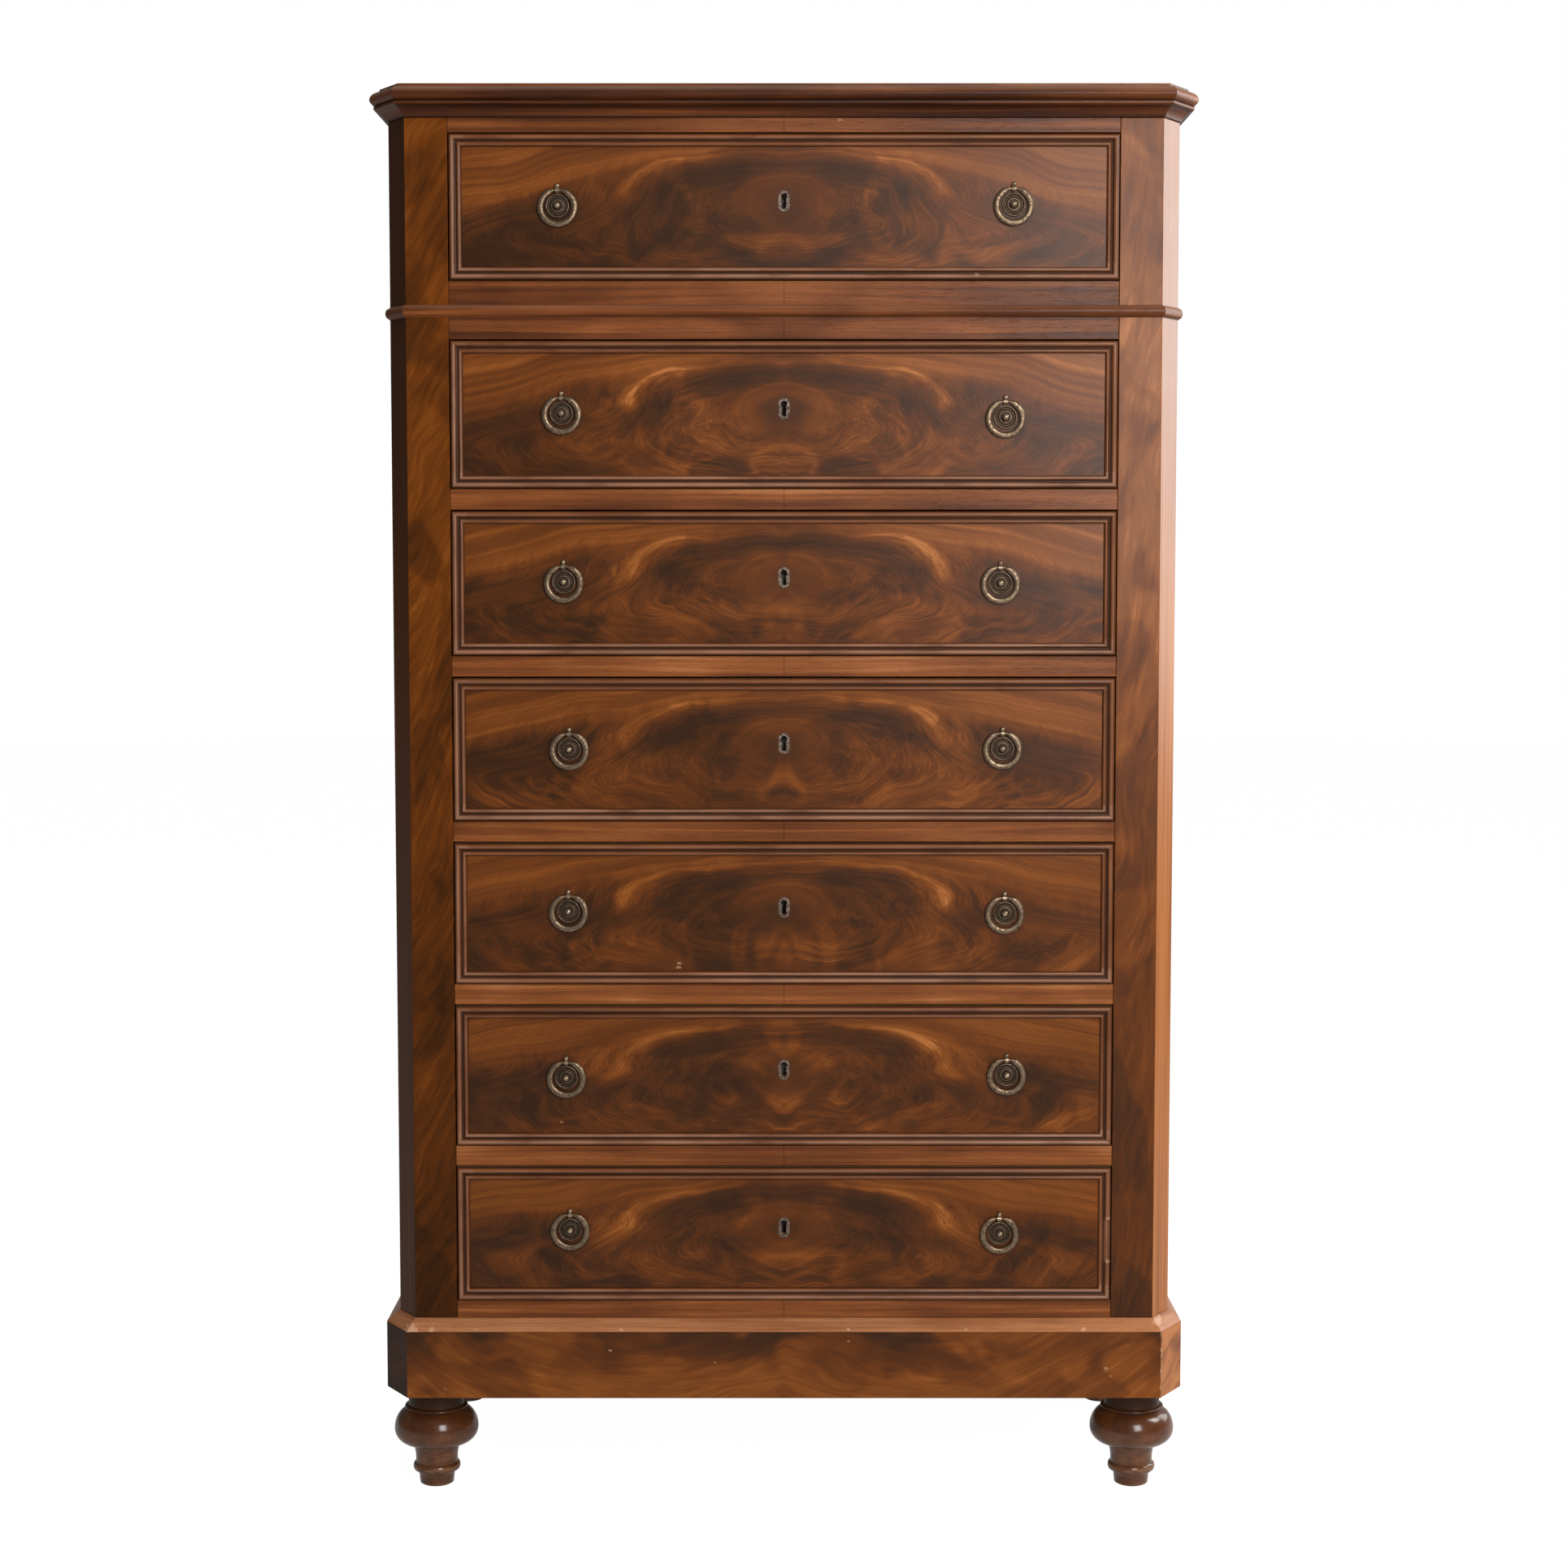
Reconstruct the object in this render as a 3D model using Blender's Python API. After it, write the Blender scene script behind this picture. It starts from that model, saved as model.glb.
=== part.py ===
"""Tall seven-drawer chest with canted corners, double-bead drawer fronts, ring pulls and turned feet.

Metres, +Z up. +X is to the right as one faces the drawers, and the drawers open towards -Y.
The origin is on the floor, below the centre of the chest's outer box.
"""

import math

import bmesh
import bpy
from mathutils import Matrix, Vector

# Clearances
SEAT_GAP = 0.0003  # between faces that rest on or against each other
DRAWER_SIDE_GAP = 0.0013  # between a drawer and its opening, each side
DRAWER_TOP_GAP = 0.0016
DRAWER_FOOT_GAP = 0.0009

# Heights, from the floor up
FOOT_HEIGHT = 0.1086
PLINTH_FACE = 0.0723
PLINTH_SLOPE = 0.0120
BOTTOM_RAIL = 0.0191
DRAWER_OPENINGS = (0.1532, 0.1563, 0.1542, 0.1539, 0.1527, 0.1527, 0.1469)  # drawer 1, at the top, first
RAIL = 0.02164
WAIST_RAIL = 0.0607
FRIEZE = 0.0152
CORNICE_HEIGHT = 0.0340
CORNICE_HOLLOW = 0.0122  # level of the fillet's foot above the cornice's own
CORNICE_FILLET = 0.0030
CORNICE_ROUND = 0.0070  # from the fillet's top to the middle of the large round
CORNICE_LIP = 0.0026

# Plan of the carcass, and how far each moulding stands out from it
HALF_WIDTH = 0.4175
BODY_DEPTH = 0.405
CANT_WIDTH = 0.0210  # the cant's share of the front
CANT_DEPTH = 0.0340  # the cant's share of the side
OPENING_HALF = 0.3515
PLINTH_OUT = 0.0142
WAIST_OUT = 0.0050
CORNICE_OUT = 0.0190
CORNICE_ROUND_DEPTH = 0.0105
CORNICE_FILLET_BACK = 0.0042  # the fillet's face behind the front of the large round
CORNICE_QUIRK = 0.0024
HOLLOW_START = 0.0018
PLINTH_LEDGE = 0.0010

# Carcass timber
POST_DEPTH = 0.060
SIDE_THICKNESS = 0.020
BACK_THICKNESS = 0.009
GUIDE_HEIGHT = 0.030
RAIL_DEPTH = 0.055
PLINTH_BOARD = 0.030
PLINTH_CAP = 0.010  # thickness of the board that closes the plinth's top
CORNER_BLOCK = 0.037
WAIST_HALF_HEIGHT = 0.0064
WAIST_QUIRK = 0.0010
WAIST_DROP = 0.0315  # from the underside of drawer 1's opening to the middle of the waist moulding
WAIST_TONGUE = 0.0030  # half height of the joint between the waist rail and its moulding
KICKER_WIDTH = 0.045
KICKER_LIFT = 0.0005  # above the frieze rail's lower edge
TOP_LET_IN = 0.0120  # how far the frieze rail and kickers run up into the top
GUIDE_BACK = 0.0005  # the guides' faces behind the posts' inner faces
PANEL_SINK = 0.0035  # the frames' panels below and above the faces of their rails and runners
CUT_PAST = 0.0100  # how far a cutting solid runs past what it cuts

# Drawers
FRONT_THICKNESS = 0.020
BEAD_OUT = 0.0056
BEAD_WIDTH = 0.0064
INNER_BEAD_OUT = 0.0042
INNER_BEAD_WIDTH = 0.0050
BEAD_GROOVE = 0.0016
BEAD_SPRING = 0.0016  # where the outer bead's curve starts, in front of the panel
INNER_BEAD_SPRING = 0.0012
GROOVE_LEVEL = 0.0008
QUIRK = 0.0003
BOX_SIDE = 0.011
BOX_BOTTOM = 0.006
BOX_BOTTOM_LIFT = 0.0035
BOX_TOP_DROP = 0.0040
BOX_BACK_DROP = 0.010
BACK_CLEARANCE = 0.012

# Keyholes
KEY_RISE = 0.0060  # above the middle of the drawer opening
KEY_RADIUS = 0.0033
KEY_SLOT_HALF = 0.0024
KEY_ABOVE = 0.0047
KEY_BELOW = 0.0080
LINING_HALF = 0.0061
LINING_ABOVE = 0.0110
LINING_BELOW = 0.0110
LINING_DEPTH = 0.0025

# Ring pulls: the ring's middle, left and right, from the centre line and from the opening's middle
PULL_LEFT = (
    (-0.2368, -0.0005),
    (-0.2340, -0.0004),
    (-0.2326, -0.0001),
    (-0.2277, -0.0012),
    (-0.2294, 0.0010),
    (-0.2327, -0.0034),
    (-0.2295, 0.0028),
)
PULL_RIGHT = (
    (0.2400, 0.0010),
    (0.2327, -0.0043),
    (0.2284, -0.0012),
    (0.2314, -0.0005),
    (0.2348, -0.0010),
    (0.2377, -0.0006),
    (0.2311, -0.0011),
)
RING_RADIUS = 0.0178  # to the middle of the ring's bar
RING_BAR_HALF = 0.0033  # half the bar's width, seen from the front
RING_BAR_THICK = 0.0018  # half the bar's thickness
RING_NECK = 0.0013  # radius of the bar where it passes through its eye
RING_EYE_SPAN = 13  # degrees each side of the eye over which the bar keeps its neck
RING_SWELL_SPAN = 20  # degrees over which it then swells to its full width
RING_STEPS = 16
RING_SIDES = 6
ROSETTE_RADIUS = 0.0124
ROSETTE_LIFT = 0.0013  # the rosette's middle above the ring's
ROSETTE_THICK = 0.0024
ROSETTE_HOLLOW = 0.0010
ROSETTE_HOLLOW_RADIUS = 0.0101
ROSETTE_STEP_RADIUS = 0.0074
ROSETTE_SIDES = 12
KNOB_NECK = 0.0021
KNOB_RADIUS = 0.0034
KNOB_OUT = 0.0066
EYE_OUT = 0.0030  # the eye's axis in front of the drawer
EYE_HOLE = 0.0018
EYE_WALL = 0.0010
EYE_HALF_WIDTH = 0.0022
BALL_RADIUS = 0.0025
BALL_RISE = 0.0046  # above the eye's axis
STUD_RADIUS = 0.0020
STUD_SIDES = 8
STUD_CLEARANCE = 0.0003
STUD_BEHIND = 0.0040  # how far the stud runs past the back of the drawer front

# Feet
FOOT_INSET = 0.052  # from the plinth's outer faces to the foot's axis
FOOT_BUN_RADIUS = 0.0455
FOOT_BUN_DROP = 0.0460  # the widest part of the bun, below the plinth
FOOT_HIP = 0.0165  # height of the bun's lower curve
FOOT_HIP_DEPTH = 0.0170
FOOT_SHOULDER = 0.0215  # height of the bun's upper curve
FOOT_NECK_RADIUS = 0.0300
FOOT_COLLAR = 0.0042
FOOT_STEM_RADIUS = 0.0228
FOOT_FLARE = 0.0030  # how far the stem swells where it meets the bun
FOOT_FLARE_HEIGHT = 0.0100
FOOT_BEAD = 0.0012
FOOT_BEAD_HEIGHT = 0.0112
FOOT_EASE = 0.0018
FOOT_TOE_HEIGHT = 0.0142
FOOT_TOE_RADIUS = 0.0196
FOOT_BASE_RADIUS = 0.0164
FOOT_SIDES = 18
TENON_RADIUS = 0.010
TENON_LENGTH = 0.030
TENON_SIDES = 12

# Finishes: colour, roughness, metallic
VENEER = ((0.130, 0.046, 0.016, 1.0), 0.32, 0.0)
POLISHED_WOOD = ((0.105, 0.036, 0.014, 1.0), 0.34, 0.0)
PALE_WOOD = ((0.430, 0.270, 0.130, 1.0), 0.65, 0.0)
BRONZE = ((0.210, 0.150, 0.085, 1.0), 0.42, 1.0)

# Levels and places that follow from the sizes above
DRAWER_COUNT = len(DRAWER_OPENINGS)
CASE_BASE = FOOT_HEIGHT + PLINTH_FACE + PLINTH_SLOPE
ARRIS_HALF = HALF_WIDTH - CANT_WIDTH
INNER_HALF = HALF_WIDTH - SIDE_THICKNESS
MOULDING_REACH = max(CORNICE_OUT, PLINTH_OUT, WAIST_OUT, BEAD_OUT, KNOB_OUT + KNOB_RADIUS)
FACE_Y = MOULDING_REACH - (BODY_DEPTH + MOULDING_REACH) / 2
DRAWER_HALF = OPENING_HALF - DRAWER_SIDE_GAP
FOOT_X = HALF_WIDTH + PLINTH_OUT - FOOT_INSET
FOOT_FRONT = FOOT_INSET - PLINTH_OUT
FOOT_REAR = BODY_DEPTH - FOOT_INSET
RING_REACH = RING_RADIUS * math.cos(math.pi / RING_STEPS)  # from the eye's axis to the ring's middle
SHARP_ANGLE = math.radians(35)
HOLLOW_STEPS = 4


def opening_levels():
    """Bottom and top of each drawer opening above the floor, drawer 1 first."""
    levels = []
    bottom = CASE_BASE + BOTTOM_RAIL
    for index in reversed(range(DRAWER_COUNT)):
        top = bottom + DRAWER_OPENINGS[index]
        levels.insert(0, (bottom, top))
        bottom = top + (WAIST_RAIL if index == 1 else RAIL)
    return levels


OPENINGS = opening_levels()
CORNICE_BASE = OPENINGS[0][1] + FRIEZE
WAIST_LEVEL = OPENINGS[0][0] - WAIST_DROP


# Solids

def loft(rings):
    """Closed solid through rings of matching points, with a flat end at each side."""
    solid = bmesh.new()
    rows = [[solid.verts.new(point) for point in ring] for ring in rings]
    for row, following in zip(rows, rows[1:]):
        for index in range(len(row)):
            after = (index + 1) % len(row)
            solid.faces.new((row[index], row[after], following[after], following[index]))
    solid.faces.new(rows[0])
    solid.faces.new(rows[-1])
    bmesh.ops.recalc_face_normals(solid, faces=solid.faces)
    return solid


def block(low, high):
    """Rectangular solid between two opposite corners."""
    corners = [(low[0], low[1]), (high[0], low[1]), (high[0], high[1]), (low[0], high[1])]
    return loft([[(x, y, z) for x, y in corners] for z in (low[2], high[2])])


def upright(outline, low, high):
    """Outline in X and Y, raised from one level to another."""
    return loft([[(x, y, z) for x, y in outline] for z in (low, high)])


def lengthwise(outline, near, far):
    """Outline in X and Z, drawn along Y."""
    return loft([[(x, y, z) for x, z in outline] for y in (near, far)])


def sideways(outline, left, right):
    """Outline in Y and Z, drawn along X."""
    return loft([[(x, y, z) for y, z in outline] for x in (left, right)])


def turned(profile, sides):
    """Solid turned about Z through points given as radius and level."""
    angles = [2 * math.pi * step / sides for step in range(sides)]
    return loft([[(r * math.cos(a), r * math.sin(a), z) for a in angles] for r, z in profile])


def turned_forward(profile, sides):
    """Solid turned about Y through points given as radius and distance towards the viewer."""
    solid = turned(profile, sides)
    solid.transform(Matrix.Rotation(math.radians(90), 4, "X"))
    return solid


def moved(solid, x=0.0, y=0.0, z=0.0):
    """The same solid at another place."""
    solid.transform(Matrix.Translation((x, y, z)))
    return solid


def scratch_object(solid):
    """Object that lives only while solids are joined and cut."""
    mesh = bpy.data.meshes.new("scratch")
    solid.to_mesh(mesh)
    solid.free()
    item = bpy.data.objects.new("scratch", mesh)
    item.hide_render = True
    item.display_type = "WIRE"
    bpy.context.scene.collection.objects.link(item)
    return item


def shaped(base, joined=(), cut=()):
    """Mesh of a solid with others joined to it and others taken away from it."""
    body = scratch_object(base)
    tools = []
    for operation, solids in (("UNION", joined), ("DIFFERENCE", cut)):
        for solid in solids:
            tool = scratch_object(solid)
            tools.append(tool)
            step = body.modifiers.new("step", "BOOLEAN")
            step.operation = operation
            step.solver = "EXACT"
            step.object = tool
    bpy.context.view_layer.update()
    graph = bpy.context.evaluated_depsgraph_get()
    mesh = bpy.data.meshes.new_from_object(body.evaluated_get(graph))
    for item in (body, *tools):
        bpy.data.objects.remove(item)
    return mesh


# Outlines

def canted_plan(out):
    """Plan of the front and sides with canted corners, standing out by a given distance."""
    cant_angle = math.atan2(CANT_DEPTH, CANT_WIDTH)
    arris = ARRIS_HALF + out * math.tan(cant_angle / 2)
    shoulder = CANT_DEPTH - out * math.tan((math.pi / 2 - cant_angle) / 2)
    side = HALF_WIDTH + out
    right = [(arris, -out), (side, shoulder), (side, BODY_DEPTH)]
    left = [(-x, y) for x, y in reversed(right)]
    return right + left


def canted_loft(profile):
    """Solid whose canted plan grows and shrinks through points of reach and level."""
    return loft([[(x, y, level) for x, y in canted_plan(out)] for out, level in profile])


def arc(centre, radii, start, end, steps):
    """Points on an ellipse's arc between two angles in degrees."""
    points = []
    for step in range(steps + 1):
        angle = math.radians(start + (end - start) * step / steps)
        points.append((centre[0] + radii[0] * math.cos(angle), centre[1] + radii[1] * math.sin(angle)))
    return points


def cornice_profile():
    """Reach and level of the cornice, from the hollow at its foot to the top board's edge."""
    base = CORNICE_BASE + SEAT_GAP
    top = CORNICE_BASE + CORNICE_HEIGHT
    fillet_out = CORNICE_OUT - CORNICE_FILLET_BACK
    fillet_low = base + CORNICE_HOLLOW
    fillet_top = fillet_low + CORNICE_FILLET
    reach = fillet_out - QUIRK - HOLLOW_START
    points = [(QUIRK, base)]
    for step in range(HOLLOW_STEPS + 1):
        along = step / HOLLOW_STEPS
        out = (along + 1 - math.cos(along * math.pi / 2)) / 2
        up = (along + math.sin(along * math.pi / 2)) / 2
        points.append((HOLLOW_START + reach * out, base + QUIRK + (CORNICE_HOLLOW - QUIRK) * up))
    points += [(fillet_out, fillet_low + QUIRK), (fillet_out, fillet_top)]
    points.append((fillet_out - CORNICE_QUIRK, fillet_top + QUIRK))
    lip = CORNICE_OUT - CORNICE_ROUND_DEPTH
    middle = fillet_top + CORNICE_ROUND
    round_top = top - CORNICE_LIP - QUIRK
    points += arc((lip, middle), (CORNICE_ROUND_DEPTH, middle - fillet_top - 2 * QUIRK), -50, 0, 2)
    points += arc((lip, middle), (CORNICE_ROUND_DEPTH, round_top - middle), 24, 78, 3)
    points += [(lip, top - CORNICE_LIP), (lip, top)]
    return points


def waist_profile():
    """Reach and level across the waist moulding, a half round between two quirks."""
    half = WAIST_HALF_HEIGHT
    spring = SEAT_GAP + WAIST_QUIRK
    round_part = arc((spring, WAIST_LEVEL), (WAIST_OUT - spring, half - WAIST_QUIRK), -90, 90, 6)
    return [(SEAT_GAP, WAIST_LEVEL - half)] + round_part + [(SEAT_GAP, WAIST_LEVEL + half)]


# Carcass

def kickers(low, high):
    """Two battens along the drawer opening's sides that keep an open drawer from tipping."""
    far = BODY_DEPTH - BACK_THICKNESS - BACK_CLEARANCE
    battens = []
    for side in (-1, 1):
        outer = side * (OPENING_HALF - SEAT_GAP)
        left, right = sorted((outer, outer - side * KICKER_WIDTH))
        battens.append(block((left, SIDE_THICKNESS / 2, low + KICKER_LIFT), (right, far, high)))
    return battens


def top_mesh():
    """Top board with its cornice, the frieze rail below its front edge and two kickers."""
    low = OPENINGS[0][1]
    buried = CORNICE_BASE + TOP_LET_IN
    half = OPENING_HALF - SEAT_GAP
    frieze = block((-half, 0, low), (half, SIDE_THICKNESS, buried))
    return shaped(canted_loft(cornice_profile()), joined=[frieze, *kickers(low, buried - KICKER_LIFT)])


def guide_bands():
    """Bottom and top of the battens inside a side panel, from the lowest up."""
    bands = [(low + SEAT_GAP, low + SEAT_GAP + GUIDE_HEIGHT) for low, _ in reversed(OPENINGS)]
    waist = OPENINGS[0][0] - SEAT_GAP
    bands.insert(-1, (waist - WAIST_RAIL, waist - RAIL))
    return bands


def side_mesh(side):
    """Side panel with a guide beside each drawer, a batten at the waist, and a rebate for the back."""
    base = CASE_BASE + SEAT_GAP
    guide_face = OPENING_HALF + GUIDE_BACK
    outline = [(HALF_WIDTH, CORNICE_BASE), (HALF_WIDTH, base), (INNER_HALF, base)]
    for low, high in guide_bands():
        outline += [(INNER_HALF, low), (guide_face, low), (guide_face, high), (INNER_HALF, high)]
    outline.append((INNER_HALF, CORNICE_BASE))
    near = POST_DEPTH + SEAT_GAP
    panel = lengthwise([(side * x, z) for x, z in outline], near, BODY_DEPTH)
    rebate_y = BODY_DEPTH - BACK_THICKNESS - SEAT_GAP
    edges = sorted((side * INNER_HALF, side * (guide_face - CUT_PAST)))
    low = (edges[0], rebate_y, base - CUT_PAST)
    rebate = block(low, (edges[1], BODY_DEPTH + CUT_PAST, CORNICE_BASE + CUT_PAST))
    return shaped(panel, cut=[rebate])


def post_mesh(side):
    """Front corner post with its canted outer edge."""
    outline = [
        (OPENING_HALF, 0),
        (ARRIS_HALF, 0),
        (HALF_WIDTH, CANT_DEPTH),
        (HALF_WIDTH, POST_DEPTH),
        (OPENING_HALF, POST_DEPTH),
    ]
    return shaped(upright([(side * x, y) for x, y in outline], CASE_BASE + SEAT_GAP, CORNICE_BASE))


def frame_plan():
    """Plan of a runner frame, notched round the two posts."""
    narrow = OPENING_HALF - SEAT_GAP
    wide = INNER_HALF - SEAT_GAP
    shoulder = POST_DEPTH + SEAT_GAP
    rear = BODY_DEPTH - BACK_THICKNESS - SEAT_GAP
    right = [(narrow, 0), (narrow, shoulder), (wide, shoulder), (wide, rear)]
    return right + [(-x, y) for x, y in reversed(right)]


def frame_recesses(low, top):
    """Shallow spaces between a frame's rails and runners, above and below its panel."""
    half = OPENING_HALF - KICKER_WIDTH
    rear = BODY_DEPTH - BACK_THICKNESS - RAIL_DEPTH
    spaces = ((top - PANEL_SINK, top + CUT_PAST), (low - CUT_PAST, low + PANEL_SINK))
    return [block((-half, RAIL_DEPTH, foot), (half, rear, head)) for foot, head in spaces]


def frame_mesh(top, thickness):
    """Rail, runners and dust panel below one drawer."""
    low = top - thickness
    return shaped(upright(frame_plan(), low, top), cut=frame_recesses(low, top))


def waist_mesh():
    """Runner frame under drawer 1, its deep rail and kickers, and the moulding round front and sides."""
    top = OPENINGS[0][0]
    low = top - RAIL
    half = OPENING_HALF - SEAT_GAP
    rail_low = top - WAIST_RAIL
    deep_rail = block((-half, 0, rail_low), (half, SIDE_THICKNESS, top - RAIL / 2))
    tongue_low = (-half, -WAIST_OUT / 2, WAIST_LEVEL - WAIST_TONGUE)
    tongue = block(tongue_low, (half, SIDE_THICKNESS / 2, WAIST_LEVEL + WAIST_TONGUE))
    plans = [canted_plan(out)[:3] for out, _ in waist_profile()]
    levels = [level for _, level in waist_profile()]
    stations = []
    for mirror, order in ((1, (2, 1, 0)), (-1, (0, 1, 2))):
        for corner in order:
            ring = [(mirror * plan[corner][0], plan[corner][1], z) for plan, z in zip(plans, levels)]
            stations.append(ring)
    joined = [deep_rail, tongue, loft(stations), *kickers(rail_low, top - RAIL / 2)]
    return shaped(upright(frame_plan(), low, top), joined=joined, cut=frame_recesses(low, top))


def back_mesh():
    """Back panel, let in between the two sides."""
    half = INNER_HALF - SEAT_GAP
    low = (-half, BODY_DEPTH - BACK_THICKNESS, CASE_BASE + SEAT_GAP)
    return shaped(block(low, (half, BODY_DEPTH, CORNICE_BASE)))


def plinth_mesh():
    """Plinth boards with a sloping top edge, a closed top, corner blocks and sockets for the feet."""
    face_top = FOOT_HEIGHT + PLINTH_FACE
    shell = canted_loft([(PLINTH_OUT, FOOT_HEIGHT), (PLINTH_OUT, face_top), (PLINTH_LEDGE, CASE_BASE)])
    inner = HALF_WIDTH + PLINTH_OUT - PLINTH_BOARD
    block_x = FOOT_X - CORNER_BLOCK
    front = PLINTH_BOARD - PLINTH_OUT
    rear = BODY_DEPTH - PLINTH_BOARD
    front_block = FOOT_FRONT + CORNER_BLOCK
    rear_block = FOOT_REAR - CORNER_BLOCK
    half = [(block_x, front), (block_x, front_block), (inner, front_block)]
    half += [(inner, rear_block), (block_x, rear_block), (block_x, rear)]
    plan = half + [(-x, y) for x, y in reversed(half)]
    hollow = upright(plan, FOOT_HEIGHT - CUT_PAST, CASE_BASE - PLINTH_CAP)
    sockets = []
    for x in (-FOOT_X, FOOT_X):
        for y in (FOOT_FRONT, FOOT_REAR):
            radius = TENON_RADIUS + SEAT_GAP
            profile = [(radius, FOOT_HEIGHT - CUT_PAST), (radius, FOOT_HEIGHT + TENON_LENGTH + SEAT_GAP)]
            sockets.append(moved(turned(profile, TENON_SIDES), x, y))
    return shaped(shell, cut=[hollow, *sockets])


def foot_mesh():
    """Turned foot: tapered toe, bead, stem, bun and collar below the plinth, and its tenon."""
    top = FOOT_HEIGHT - SEAT_GAP
    bun = FOOT_HEIGHT - FOOT_BUN_DROP
    hip = bun - FOOT_HIP
    toe = FOOT_TOE_HEIGHT
    stem = FOOT_STEM_RADIUS
    waist = hip - FOOT_FLARE_HEIGHT
    profile = [(FOOT_BASE_RADIUS, 0.0), (FOOT_BASE_RADIUS + FOOT_EASE, FOOT_EASE)]
    profile += [(FOOT_TOE_RADIUS, toe), (stem, toe + FOOT_EASE)]
    profile += [(stem + FOOT_BEAD, toe + FOOT_BEAD_HEIGHT / 2), (stem, toe + FOOT_BEAD_HEIGHT)]
    profile.append((stem, waist))
    profile.append((stem + FOOT_FLARE, waist + FOOT_FLARE_HEIGHT / 2))
    profile += arc((FOOT_BUN_RADIUS - FOOT_HIP_DEPTH, bun), (FOOT_HIP_DEPTH, FOOT_HIP), -62, 0, 3)
    profile += arc((FOOT_NECK_RADIUS, bun), (FOOT_BUN_RADIUS - FOOT_NECK_RADIUS, FOOT_SHOULDER), 25, 72, 2)
    collar = bun + FOOT_SHOULDER
    profile += [(FOOT_NECK_RADIUS + FOOT_COLLAR, collar + FOOT_COLLAR / 2)]
    profile.append((FOOT_NECK_RADIUS, collar + FOOT_COLLAR))
    profile.append((FOOT_NECK_RADIUS, top))
    tenon = turned([(TENON_RADIUS, bun), (TENON_RADIUS, FOOT_HEIGHT + TENON_LENGTH)], TENON_SIDES)
    return shaped(turned(profile, FOOT_SIDES), joined=[tenon])


# Drawers

def front_section():
    """Inset from the edge and distance forward of the double bead round a drawer front."""
    half = BEAD_WIDTH / 2
    outer = arc((half, BEAD_SPRING), (half, BEAD_OUT - BEAD_SPRING), 180, 0, 5)
    start = BEAD_WIDTH + BEAD_GROOVE
    half = INNER_BEAD_WIDTH / 2
    inner = arc((start + half, INNER_BEAD_SPRING), (half, INNER_BEAD_OUT - INNER_BEAD_SPRING), 180, 0, 4)
    groove = [(BEAD_WIDTH + QUIRK / 3, GROOVE_LEVEL), (start - QUIRK / 3, GROOVE_LEVEL)]
    return outer + groove + inner + [(start + INNER_BEAD_WIDTH + QUIRK, 0.0)]


def key_outline(middle):
    """Outline of the keyhole: a round above a straight slot."""
    lift = math.degrees(math.asin(KEY_SLOT_HALF / KEY_RADIUS))
    head = arc((0, middle + KEY_ABOVE), (KEY_RADIUS, KEY_RADIUS), lift - 90, 270 - lift, 8)
    return head + [(-KEY_SLOT_HALF, middle - KEY_BELOW), (KEY_SLOT_HALF, middle - KEY_BELOW)]


def lining_outline(middle):
    """Outline of the lining let into the wood round the keyhole, round at its top and foot."""
    top = arc((0, middle + LINING_ABOVE - LINING_HALF), (LINING_HALF, LINING_HALF), 0, 180, 6)
    foot = arc((0, middle - LINING_BELOW + LINING_HALF), (LINING_HALF, LINING_HALF), 180, 360, 6)
    return top + foot


def front_mesh(index):
    """Drawer front with its double bead, keyhole, lining recess and stud holes."""
    opening = DRAWER_OPENINGS[index]
    low, high = DRAWER_FOOT_GAP, opening - DRAWER_TOP_GAP
    section = [(0.0, -FRONT_THICKNESS), (0.0, 0.0)] + front_section()
    rings = []
    for inset, forward in section:
        x = DRAWER_HALF - inset
        bottom, top = low + inset, high - inset
        rings.append([(-x, -forward, bottom), (x, -forward, bottom), (x, -forward, top), (-x, -forward, top)])
    middle = opening / 2 + KEY_RISE
    through = (-CUT_PAST, FRONT_THICKNESS + CUT_PAST)
    keyhole = lengthwise(key_outline(middle), *through)
    recess = lengthwise(lining_outline(middle), through[0], LINING_DEPTH)
    holes = []
    for x, z in (PULL_LEFT[index], PULL_RIGHT[index]):
        radius = STUD_RADIUS + STUD_CLEARANCE
        hole = turned_forward([(radius, -through[1]), (radius, -through[0])], 10)
        holes.append(moved(hole, x, 0, opening / 2 + z + ROSETTE_LIFT))
    return shaped(loft(rings), cut=[keyhole, recess, *holes])


def box_mesh(index):
    """Drawer box: two sides, a lower back and a bottom raised above the runners."""
    near = FRONT_THICKNESS + SEAT_GAP
    far = BODY_DEPTH - BACK_THICKNESS - BACK_CLEARANCE
    high = DRAWER_OPENINGS[index] - DRAWER_TOP_GAP - BOX_TOP_DROP
    inner = DRAWER_HALF - BOX_SIDE
    floor_low = SEAT_GAP + BOX_BOTTOM_LIFT
    floor_high = floor_low + BOX_BOTTOM
    solid = block((-DRAWER_HALF, near, SEAT_GAP), (DRAWER_HALF, far, high))
    inside = block((-inner, near - CUT_PAST, floor_high), (inner, far - BOX_SIDE, high + CUT_PAST))
    lowered = (-inner, far - 2 * BOX_SIDE, high - BOX_BACK_DROP)
    above_back = block(lowered, (inner, far + CUT_PAST, high + 2 * CUT_PAST))
    below = block((-inner, near - 2 * CUT_PAST, -CUT_PAST), (inner, far - BOX_SIDE, floor_low))
    return shaped(solid, cut=[inside, above_back, below])


# Ring pulls

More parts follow.
